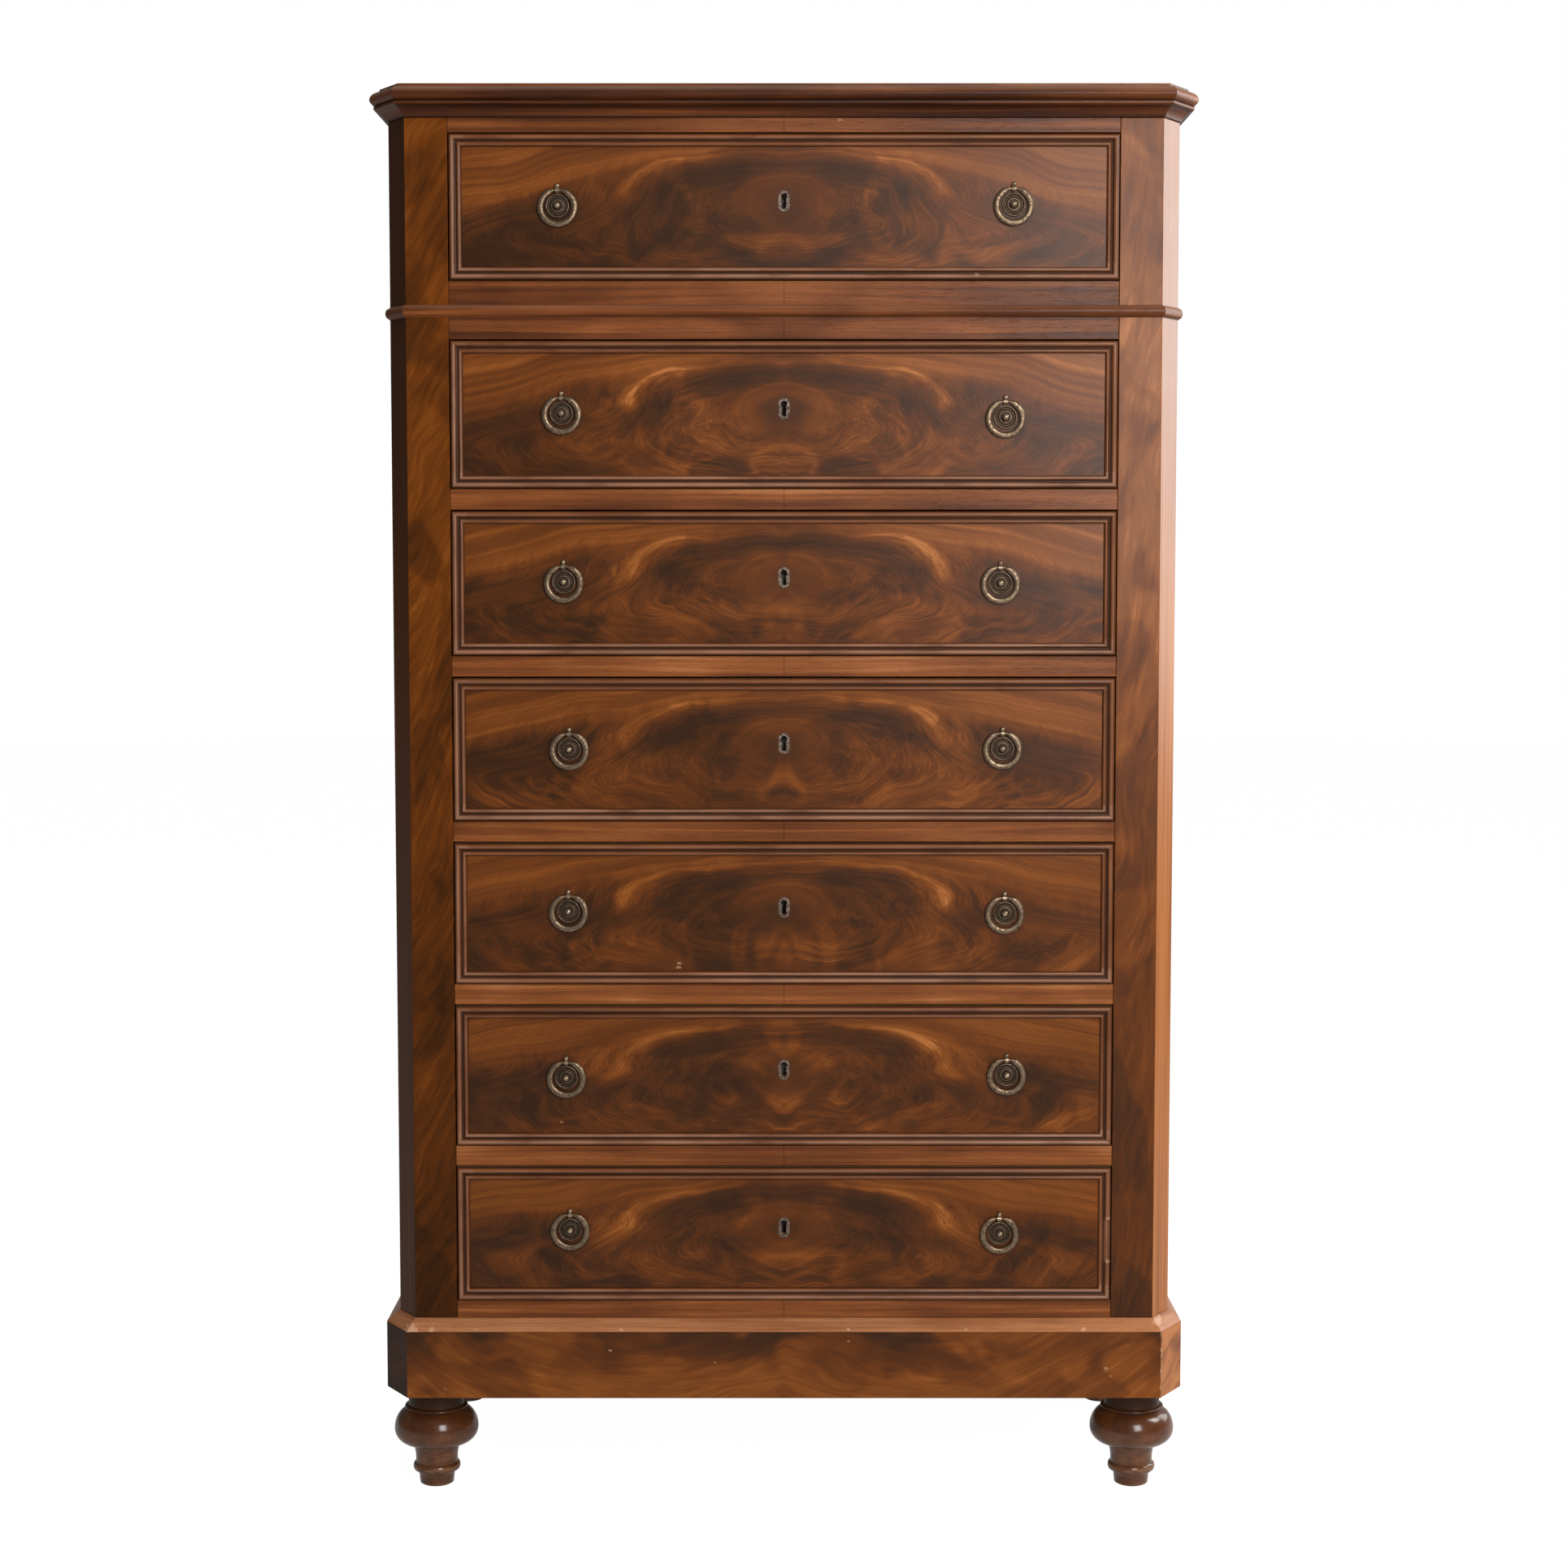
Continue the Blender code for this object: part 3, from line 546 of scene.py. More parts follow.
        # Arch over the rings, the hollow inside it and the bowl that closes them below
        arch = ring.stripe(1.0, 0.085) * (0.60 + 0.40 * mirror.between(0.03, 0.12))
        arch = arch * (0.05 + 0.95 * top)
        glow = ring.stripe(1.02, 0.26) * top
        hollow = ring.stripe(0.66, 0.30) * top * mirror.between(0.025, 0.055)
        bowl = ring.stripe(1.02, 0.12) + 0.7 * ring.stripe(1.28, 0.11)
        bowl = bowl + 0.6 * ring.stripe(0.74, 0.08)
        bowl = bowl * low * mirror.between(0.03, 0.10) * (0.5 + murk)

        tone = 0.36 + strands * band + 0.28 * arch + 0.12 * glow - 0.20 * hollow + eye
        tone = tone + 0.13 * blot + 0.20 * bowl
        flow = broad * 0.60 + (fine - 0.5) * 0.34 + wisp * 0.16 + thread * 0.13 - 0.04
        tone = tone + flow * inner * calm + (curl * 0.17 + (swirl - 0.5) * 0.52) * low
        out = mirror.between(0.13, 0.20) * inner * (0.35 + 0.65 * line.stripe(0.044, 0.050))
        tone = tone - 0.18 * smoke.between(0.40, 0.58) * inner
        tone = tone - 0.13 * out * smoke.between(0.30, 0.55)
        dim = low * self.dim * (1.0 - 0.7 * x.between(0.02, 0.26))
        # Painted light: the x term lightens each front towards the right, where the light comes
        # from.
        colour = recipe.ramp(tone + murk * 0.40 + hair * 0.24 + x * 0.22 - dim, VENEER)
        colour = recipe.chipped(colour, self.chips)
        relief = hair + noise((x * 260.0, y * 260.0, z * 900.0), rough=0.6)
        recipe.surface(colour, 0.27 + (0.5 + murk) * 0.12, relief, 0.00006, **GLOSS)


@dataclass(frozen=True, kw_only=True)
class FlameTimber(Finish):
    """Feathered flame figure, for the posts and the plinth.

    Attributes:
        seed: which part of the log it comes from.
        tone: where its middle colour is on the ramp.
        slant: how far the strands lean across the piece.
        arris: distance from the middle of the arris where plain straight grain starts, or 0.
        edge: where that plain grain's colour is on the ramp.
        fade: how much darker its foot is than its head.
        bowl: distance from the middle where the strands of a level piece sag lowest, or 0.
        murk: level above which dark clouds gather, and by how much.
        vigour: strength of the figure.
        polish: how glossy its cant is towards the head.
        rubbed: distance from the middle of a rubbed end and level of a rubbed foot, or 0 and 0.
        sheen: level of its reflections.
    """

    seed: float
    tone: float = 0.40
    slant: float = 0.5
    slot: str = "veneer"
    arris: float = 0.0
    edge: float = 0.74
    fade: float = 0.0
    bowl: float = 0.0
    murk: Pair = (0.0, 0.0)
    vigour: float = 0.85
    polish: float = 0.02
    rubbed: Pair = (0.0, 0.0)
    sheen: float = 0.12

    def build(self, recipe: Recipe, grain: Grain) -> None:
        """Leaning strands with clouds and fine fibres.

        Args:
            recipe: the material's empty node tree.
            grain: the way that the piece's grain runs.
        """
        noise = recipe.noise
        gloss: dict[str, Value] = {**GLOSS, "Specular_IOR_Level": self.sheen}
        along, wide, deep = recipe.axes(grain)
        x, y, z = recipe.places()
        bend = noise((along * 4.0, wide * 8.0, deep + self.seed), bend=0.4) - 0.5
        if self.bowl:
            reach = abs(along) - self.bowl
            run, over = abs(along), wide - reach * reach * 1.6 + bend * 0.060
        else:
            run, over = along + wide * self.slant, wide - along * self.slant + bend * 0.080
        broad = noise((run * 6.0, over * 30.0, deep * 12.0 + self.seed), 3.0, 0.55, 0.8) - 0.5
        tongue = noise((run * 18.0, over * 140.0, deep * 30.0 + self.seed), 3.0, 0.6, 0.5) - 0.5
        hair = noise((run * 40.0, over * 420.0, deep * 90.0), rough=0.6) - 0.5
        cloud = noise((along * 9.0, wide * 14.0, deep + self.seed), bend=0.9)
        dark = cloud.between(0.44, 0.60)
        figure = broad * 0.66 + tongue * 0.70 + hair * 0.26 - dark * 0.24
        tone = self.tone + figure * self.vigour
        if self.fade:
            tone = tone - self.fade * (1.0 - along.between(0.15, 1.15))
        level, depth = self.murk
        if depth:
            gather = wide.between(level - 0.030, level + 0.030)
            tone = tone - gather * (0.35 + 0.65 * dark) * depth
        if self.arris:
            plain = noise((x * 300.0, y * 300.0, z * 3.0), 3.0, 0.6) - 0.5
            shoulder = LAYOUT.face + CANT[1]
            outer = abs(x).between(self.arris - 0.0003, self.arris + 0.0003)
            aside = y.between(shoulder - 0.0003, shoulder + 0.0003)
            head = along.between(0.85, 1.30)
            tone = tone + outer * (self.edge - head * 0.22 + plain * 0.60 - tone)
            tone = tone + aside * (0.38 + plain * 0.70 - tone)
            gloss["Coat_Weight"] = 0.02 + outer * (1.0 - aside) * head * self.polish
        colour = recipe.ramp(tone, VENEER)
        if self.rubbed[0]:
            end, foot = abs(x).stripe(self.rubbed[0], 0.0040), z.stripe(self.rubbed[1], 0.0030)
            scuffs = noise((x * 110.0, y * 110.0, z * 110.0), 4.0, 0.7)
            rub = end.most(foot * 0.6) + scuffs * 2.2 - 1.96 - 0.30 * (1.0 - x.between(-0.1, 0.1))
            colour = recipe.mix(rub.between(0.0, 0.30) * 0.75, colour, RUBBED_ARRIS)
        colour = recipe.chipped(colour, self.chips)
        recipe.surface(colour, 0.28 + cloud * 0.12, hair, 0.00006, **gloss)


@dataclass(frozen=True, kw_only=True)
class BeadTimber(Finish):
    """Dark polished timber of the double beads, rubbed on its crests and dirty in its grooves.

    Attributes:
        half: half the drawer front's width and height.
        middle: level of its middle.
    """

    half: Pair
    middle: float

    def build(self, recipe: Recipe, grain: Grain) -> None:
        """Straight grain, with wear by the distance in from the drawer's edge.

        Args:
            recipe: the material's empty node tree.
            grain: the way that the piece's grain runs.
        """
        noise = recipe.noise
        along, wide, deep = recipe.axes(grain)
        x, _, z = recipe.places()
        wide_half, high_half = self.half
        inset = (wide_half - abs(x)).least(high_half - abs(z - self.middle))
        streak = noise((along * 6.0, wide * 190.0, deep * 190.0), rough=0.55) - 0.5
        fibre = noise((along * 26.0, wide * 900.0, deep * 900.0), 1.0)
        rub = noise((along * 14.0, wide * 40.0, deep * 40.0), 3.0, 0.6)
        tone = 0.30 + streak * 0.60 + (rub - 0.5) * 0.40
        patch = noise((along * 5.0, wide * 9.0, deep + self.middle)).between(0.30, 0.66)
        sill = (self.middle - z).between(high_half - 0.018, high_half - 0.016)
        left = (0.0 - x).between(wide_half - 0.018, wide_half - 0.016)
        outer_crest, inner_crest = inset.stripe(0.0037, 0.0032), inset.stripe(0.0106, 0.0024)
        worn = outer_crest.most(inner_crest * (0.62 + 0.38 * sill))
        worn = worn * rub.between(0.10, 0.62) * (0.52 + 0.48 * patch)
        # On the lower and left lengths the crests are lighter and pinker: partly wear, partly
        # painted highlight where they face the light.
        light = recipe.mix(sill.most(left * 0.6), BEAD_CREST, WORN_CREST_AND_HIGHLIGHT)
        colour = recipe.mix(worn * 0.66, recipe.ramp(tone, MAHOGANY), light)
        # Painted shade: near black in the groove between the beads, where the inner bead meets the
        # panel and along the front's outer edge.
        groove_shade = inset.stripe(0.0073, 0.0013).most(inset.stripe(0.0136, 0.0012))
        groove_shade = groove_shade.most(1.0 - inset.between(0.0002, 0.0010))
        colour = recipe.mix(groove_shade * 0.84, colour, BEAD_SHADE)
        colour = recipe.chipped(colour, self.chips)
        gloss = {**GLOSS, "Specular_IOR_Level": 0.22}
        recipe.surface(colour, 0.24 + rub * 0.16 + groove_shade * 0.3, fibre, 0.00006, **gloss)


@dataclass(frozen=True, kw_only=True)
class TurnedTimber(Finish):
    """Dark polished timber of the feet, with the marks of turning.

    Attributes:
        axis: place of the foot's axis.
        top: level of its shoulder.
    """

    axis: Pair
    top: float

    def build(self, recipe: Recipe, grain: Grain) -> None:
        """Upright grain cut by the lathe, rubbed where it stands out.

        Args:
            recipe: the material's empty node tree.
            grain: the way that the piece's grain runs.
        """
        noise = recipe.noise
        x, y, z = recipe.places()
        across, deep = x - self.axis[0], y - self.axis[1]
        streak = noise((across * 60.0, deep * 60.0, z * 9.0), 3.0, 0.6, 0.4) - 0.5
        fibre = noise((across * 420.0, deep * 420.0, z * 26.0), rough=0.6)
        cut = noise((0.0, 0.0, z), rough=0.6, scale=900.0)
        rub = noise((across, deep, z * 4.0), 3.0, 0.6, scale=40.0)
        shin = 1.0 - z.between(0.045, 0.075)
        tone = 0.14 + streak * 0.70 + (fibre - 0.5) * 0.24 + (rub - 0.5) * 0.34 + shin * 0.16
        edges = z.stripe(0.0480, 0.0045).most(z.stripe(0.0198, 0.0048))
        edges = edges.most(z.stripe(0.0135, 0.0030))
        worn = edges.most(shin * 0.4) * rub.between(0.40, 0.62)
        colour = recipe.mix(0.20, recipe.ramp(tone, MAHOGANY), LATHE_FILM)
        colour = recipe.mix(worn * 0.40, colour, LATHE_CREST)
        # Painted shade: the neck under the plinth is darkened and loses most of its coat.
        neck = z.between(self.top - 0.028, self.top - 0.016)
        colour = recipe.mix(neck * 0.75, colour, LATHE_NECK_SHADE)
        coat = 0.50 - neck * 0.48
        gloss = {"Specular_IOR_Level": 0.10, "Coat_Weight": coat, "Coat_Roughness": 0.15}
        recipe.surface(colour, 0.24 + rub * 0.18, cut * 0.6 + fibre * 0.4, 0.00012, **gloss)


@dataclass(frozen=True, kw_only=True)
class Metal(Finish):
    """Cast or cut metal with patina in its hollows.

    Attributes:
        bright: colour where it is rubbed.
        dull: colour of its patina.
        rub: share of its surface that is bright.
        rough: roughness where it is bright.
        grit: scale of its marks.
        hollow: levels across the chest where its hollows end and its heights start, or 0 and 0.
    """

    bright: Shade
    dull: Shade
    rub: float
    rough: float
    grit: float = 300.0
    hollow: Pair = (0.0, 0.0)

    def build(self, recipe: Recipe, grain: Grain) -> None:
        """Patches of patina over rubbed metal, with small pits.

        Args:
            recipe: the material's empty node tree.
            grain: the way that the piece's grain runs.
        """
        at = recipe.places()
        patch = recipe.noise(at, 4.0, 0.62, 0.3, self.grit)
        pit = recipe.noise(at, rough=0.6, scale=self.grit * 5.0)
        worn = patch.between(0.50 - 0.4 * self.rub, 0.90 - 0.4 * self.rub)
        if self.hollow[1]:
            worn = worn * (1.0 - at[1].between(self.hollow[1], self.hollow[0]))
        colour = recipe.mix(worn, self.dull, self.bright)
        pitted = tuple(0.4 * part for part in self.dull)
        colour = recipe.mix(pit.between(0.55, 0.72) * 0.3, colour, pitted)
        rough = self.rough + (1.0 - worn) * 0.26 + pit * 0.08
        relief = patch * 0.5 + pit * 0.5
        recipe.surface(colour, rough, relief, 0.00005, Metallic=0.85, Specular_IOR_Level=0.4)


BEAD_CHIPS = {  # by drawer
    1: ((0.2014, 1.3040, 0.0022),),
    7: ((0.3470, 0.3024, 0.0030), (0.3470, 0.2558, 0.0030)),
}
VENEER_CHIPS = {  # by drawer
    5: ((-0.1125, 0.5735, 0.0026), (-0.1118, 0.5775, 0.0022)),
    6: ((-0.2380, 0.4060, 0.0016),),
}
PLINTH_CHIPS = (
    (-0.1864, 0.1610, 0.0016), (-0.0742, 0.1480, 0.0015), (0.3457, 0.1416, 0.0024),
    (0.3500, 0.1330, 0.0012), (-0.3640, 0.1190, 0.0012), (0.0694, 0.1712, 0.0016),
)
CAP_CHIPS = (
    (-0.3990, 0.1836, 0.0062), (-0.3780, 0.1832, 0.0026), (-0.1748, 0.1834, 0.0018),
    (0.0694, 0.1834, 0.0016), (0.3212, 0.1836, 0.0026), (0.4020, 0.1900, 0.0050),
    (0.1950, 0.1832, 0.0015), (-0.3300, 0.1832, 0.0014),
)
CAP_SCAR: Shade = (0.520, 0.310, 0.190)
CORNICE_GROOVES = ((1.4813, 0.0016), (1.4766, 0.0014), (1.4668, 0.0022))
FRIEZE_TIMBER = PlainTimber(tone=0.42, figure=1.1, seam=True, chips=((0.058, 1.4635, 0.0022),))
CORNICE_TIMBER = PlainTimber(tone=0.18, figure=1.4, dust_and_sheen=0.42, grooves=CORNICE_GROOVES)
TOP_TIMBER = PlainTimber(tone=0.38, figure=0.9, dust_and_sheen=0.35)
SIDE_TIMBER = PlainTimber(slot="veneer", stops=VENEER, tone=0.44, figure=0.85)
WAIST_RAIL_TIMBER = PlainTimber(tone=0.47, figure=1.3, seam=True)
WAIST_TIMBER = PlainTimber(tone=0.40, figure=1.0, dust_and_sheen=0.3)
# The cap's high tone is partly painted light, for the light from above on its sloping top.
CAP_TIMBER = PlainTimber(tone=1.00, figure=1.0, dust_and_sheen=0.2, chips=CAP_CHIPS, scar=CAP_SCAR)
BARE = {"slot": "pale_wood", "stops": PALE, "bare": True}
BARE_TIMBER = PlainTimber(tone=0.55, figure=0.7, **BARE)
CORE_TIMBER = PlainTimber(tone=0.30, figure=0.7, **BARE)
BRONZE = Metal(
    slot="bronze", bright=(0.178, 0.124, 0.078), dull=(0.040, 0.025, 0.015),
    rub=0.62, rough=0.29, grit=340.0,
)
# Its bright colour, about twice as light as the rings', lies on the knob and forward parts: partly
# rubbed metal, partly painted highlight.
ROSETTE_BRONZE = Metal(
    slot="bronze", bright=(0.340, 0.250, 0.165), dull=(0.044, 0.027, 0.016),
    rub=0.70, rough=0.22, grit=280.0,
)
LINING = Metal(
    slot="lining_metal", bright=(0.180, 0.136, 0.108), dull=(0.046, 0.030, 0.023),
    rub=0.50, rough=0.38,
)
STEEL = Metal(
    slot="lock_steel", bright=(0.130, 0.118, 0.105), dull=(0.045, 0.036, 0.030),
    rub=0.4, rough=0.42, grit=160.0,
)


# Solids

def placed(name: str, data: Optional[bpy.types.ID]) -> bpy.types.Object:
    """New object in the scene.

    Args:
        name: its name.
        data: its mesh, light or camera, or None.

    Returns:
        The object.
    """
    item = bpy.data.objects.new(name, data)
    bpy.context.scene.collection.objects.link(item)
    return item


def arc(centre: Pair, radii: Pair, start: float, end: float, steps: int) -> list[Pair]:
    """Points on an ellipse's arc.

    Args:
        centre: its centre.
        radii: its two radii.
        start: first angle in degrees.
        end: last angle in degrees.
        steps: how many steps between them.

    Returns:
        The points.
    """
    angles = [math.radians(start + (end - start) * step / steps) for step in range(steps + 1)]
    (x, y), (wide, high) = centre, radii
    return [(x + wide * math.cos(angle), y + high * math.sin(angle)) for angle in angles]


class Blank:
    """Solid in the making, in the place where its piece stands."""

    def __init__(self, rings: Sequence[Sequence[Point]], endless: bool = False) -> None:
        """Closed skin through rings of matching points.

        Args:
            rings: the rings, each with the same number of points.
            endless: whether the last ring joins the first.
        """
        self.skin = bmesh.new()
        rows = [[self.skin.verts.new(point) for point in ring] for ring in rings]
        pairs = list(zip(rows, rows[1:])) + ([(rows[-1], rows[0])] if endless else [])
        for row, following in pairs:
            for index in range(len(row)):
                after = (index + 1) % len(row)
                self.skin.faces.new((row[index], row[after], following[after], following[index]))
        if not endless:
            self.skin.faces.new(rows[0])
            self.skin.faces.new(rows[-1])
        bmesh.ops.recalc_face_normals(self.skin, faces=self.skin.faces)

    @classmethod
    def block(cls, across: Pair, deep: Pair, levels: Pair) -> "Blank":
        """Squared piece between two places along each axis, in any order."""
        (left, right), (near, far) = sorted(across), sorted(deep)
        return cls.upright([(left, near), (right, near), (right, far), (left, far)], *levels)

    @classmethod
    def upright(cls, outline: Sequence[Pair], low: float, high: float) -> "Blank":
        """Plan outline raised from one level to another."""
        return cls([[(x, y, z) for x, y in outline] for z in (low, high)])

    @classmethod
    def lengthwise(cls, outline: Sequence[Pair], near: float, far: float) -> "Blank":
        """Outline in X and Z drawn along Y."""
        return cls([[(x, y, z) for x, z in outline] for y in (near, far)])

    @classmethod
    def sideways(cls, outline: Sequence[Pair], left: float, right: float) -> "Blank":
        """Outline in Y and Z drawn along X."""
        return cls([[(x, y, z) for y, z in outline] for x in (left, right)])

    @classmethod
    def turned(cls, profile: Sequence[Pair], sides: int, forward: bool = False) -> "Blank":
        """Solid turned about Z, or about the axis towards the viewer.

        Args:
            profile: radius and place along the axis of each point.
            sides: how many sides it has.
            forward: whether the axis runs towards the viewer.

        Returns:
            The solid.
        """
        angles = [2 * math.pi * step / sides for step in range(sides)]
        blank = cls([[(r * math.cos(a), r * math.sin(a), z) for a in angles] for r, z in profile])
        if forward:
            blank.skin.transform(Matrix.Rotation(math.pi / 2, 4, "X"))
        return blank

    def moved(self, x: float = 0.0, y: float = 0.0, z: float = 0.0) -> "Blank":
        """The same solid at another place."""
        self.skin.transform(Matrix.Translation((x, y, z)))
        return self

    def reversed(self) -> "Blank":
        """The same solid turned to face the other way along Y."""
        self.skin.transform(Matrix.Rotation(math.pi, 4, "Z"))
        return self

    def eased(self, width: float = 0.0004) -> "Blank":
        """The same solid with its arrises taken off.

        Args:
            width: how far each arris is taken back.

        Returns:
            This solid.
        """
        sharp = math.radians(25)
        arrises = [edge for edge in self.skin.edges if edge.calc_face_angle(0.0) > sharp]
        settings = {"offset": width, "segments": 2, "affect": "EDGES", "profile": 0.5}
        bmesh.ops.bevel(self.skin, geom=arrises, **settings)
        return self

    def mesh(
        self, joined: Iterable["Blank"] = (), cut: Iterable["Blank"] = ()
    ) -> bpy.types.Mesh:
        """Final mesh.

        Args:
            joined: solids added to this one.
            cut: solids taken away from it.

        Returns:
            The mesh, with every solid used up.
        """
        body = self._scratch()
        tools = []
        for operation, blanks in (("UNION", joined), ("DIFFERENCE", cut)):
            for blank in blanks:
                tools.append(blank._scratch())
                step = body.modifiers.new("step", "BOOLEAN")
                step.operation, step.solver, step.object = operation, "EXACT", tools[-1]
        bpy.context.view_layer.update()
        graph = bpy.context.evaluated_depsgraph_get()
        made = bpy.data.meshes.new_from_object(body.evaluated_get(graph))
        for item in (body, *tools):
            bpy.data.objects.remove(item)
        return made

    def _scratch(self) -> bpy.types.Object:
        """Object that holds the solid while it is joined or cut.

        Returns:
            The object, which mesh() removes.
        """
        held = bpy.data.meshes.new("scratch")
        self.skin.to_mesh(held)
        self.skin.free()
        return placed("scratch", held)


@dataclass(frozen=True)
class Layout:
    """Faces and levels of the packed model that the pieces keep to.

    Attributes:
        face: the carcass's front face.
        rear: its back.
        half: half its width.
        opening_half: half a drawer opening's width.
        openings: bottom and top of each drawer opening, drawer 1 first.
        cornice_base: top of the posts.
        crown: top of the chest.
        case_base: top of the plinth.
        foot_top: underside of the plinth.
    """

    face: float
    rear: float
    half: float
    opening_half: float
    openings: tuple[Pair, ...]
    cornice_base: float
    crown: float
    case_base: float
    foot_top: float

    @classmethod
    def read(cls) -> "Layout":
        """Reads the faces and levels from the frame.

        Returns:
            The layout.
        """
        post, back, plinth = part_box("right_post"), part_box("back_panel"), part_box("plinth")
        waist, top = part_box("waist_frame"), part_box("top_with_cornice")
        frames = [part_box(f"runner_frame_{number}") for number in DRAWERS[1:]]
        heads = [top[0].z, waist[0].z] + [box[0].z for box in frames[:-1]]
        sills = [waist[1].z] + [box[1].z for box in frames]
        return cls(
            face=post[0].y,
            rear=back[1].y,
            half=post[1].x,
            opening_half=post[0].x,
            openings=tuple(zip(sills, heads)),
            cornice_base=post[1].z,
            crown=top[1].z,
            case_base=plinth[1].z,
            foot_top=plinth[0].z,
        )

    def plan(self, out: float) -> list[Pair]:
        """Plan of the front and sides from the right rear corner to the left one.

        Args:
            out: how far it stands out from the carcass.

        Returns:
            Six points.
        """
        angle = math.atan2(CANT[1], CANT[0])
        arris = self.half - CANT[0] + out * math.tan(angle / 2)
        shoulder = self.face + CANT[1] - out * math.tan((math.pi / 2 - angle) / 2)
        side = self.half + out
        right = [(side, self.rear), (side, shoulder), (arris, self.face - out)]
        return right + [(-x, y) for x, y in reversed(right)]


LAYOUT = Layout.read()
OPENING = LAYOUT.opening_half - SEAT_GAP  # half the width of what stands between the posts


@dataclass
class Assembly:
    """Pieces that are built and dressed together.

    Attributes:
        body: the CAD body that they ride on.
        node: the CAD node that they stand for, unless a piece names its own.
    """

    body: str = "carcass"
    node: str = ""

    def piece(
        self,
        name: str,
        solid: Union[Blank, bpy.types.Mesh],
        finish: Finish = BARE_TIMBER,
        grain: Grain = Grain.ACROSS,
        smooth: float = 0.0,
        node: Optional[str] = None,
    ) -> None:
        """Adds one piece to the chest.

        Args:
            name: the piece's name.
            solid: its solid or its mesh.
            finish: its surface.
            grain: the way that its grain runs.
            smooth: greatest angle in degrees that is shaded round, or 0 for flat faces.
            node: the CAD node that it stands for, or None for the assembly's.
        """
        mesh = solid.mesh() if isinstance(solid, Blank) else solid
        mesh.name = name
        mesh.materials.clear()
        mesh.materials.append(finish.material(grain))
        if smooth:
            mesh.shade_smooth()
            mesh.set_sharp_from_angle(angle=math.radians(smooth))
        item = placed(name, mesh)
        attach(item, self.body)
        stood_for = self.node if node is None else node
        if stood_for:
            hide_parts(stood_for)
        LOG.info("%s rides on %s", name, self.body)

    def mitred(self, name: str, section: Sequence[Pair], finishes: Sequence[Finish]) -> None:
        """Adds five mitred lengths round the front, the cants and the sides.

        Args:
            name: first word of their names.
            section: reach and level of each point round their closed section.
            finishes: finish of the right side, right cant, front, left cant and left side.
        """
        words = ("right_side", "right_cant", "front", "left_cant", "left_side")
        grains = (Grain.DEEP, Grain.RIGHT_CANT, Grain.ACROSS, Grain.LEFT_CANT, Grain.DEEP)
        plans = [(LAYOUT.plan(out), level) for out, level in section]
        stations = [[(*plan[corner], level) for plan, level in plans] for corner in range(6)]
        for index, (word, finish, grain) in enumerate(zip(words, finishes, grains)):
            self.piece(f"{name}_{word}", Blank(stations[index:index + 2]), finish, grain, 35.0)

    def build(self) -> None:
        """Makes every piece."""
        raise NotImplementedError


# Carcass

@dataclass
class Crossing(Assembly):
    """Upright rail across the front over a drawer, with two kickers behind it.

    Attributes:
        play: from the rail's underside up to the kickers'.
        stop: from the back to the kickers' ends.
    """

    play: float = 0.0005
    stop: float = 0.021

    def build_rail(self, name: str, low: float, high: float, timber: Finish) -> None:
        """Makes the rail.

        Args:
            name: the piece's name.
            low: its underside.
            high: its top.
            timber: its finish.
        """
        near, far = LAYOUT.face, LAYOUT.face + RAIL
        rail = Blank.block((-OPENING, OPENING), (near, far), (low, high)).eased(0.0005)
        self.piece(name, rail, timber)

    def build_kickers(self, name: str, low: float, high: float) -> None:
        """Makes the two kickers.

        Args:
            name: first word of their names.
            low: the rail's underside.
            high: the kickers' tops.
        """
        near, far = LAYOUT.face + RAIL + HAIRLINE, LAYOUT.rear - self.stop
        for word, side in HANDS:
            across = (side * OPENING, side * (OPENING - KICKER))
            kicker = Blank.block(across, (near, far), (low + self.play, high)).eased()
            self.piece(f"{name}_{word}_kicker", kicker, grain=Grain.DEEP)


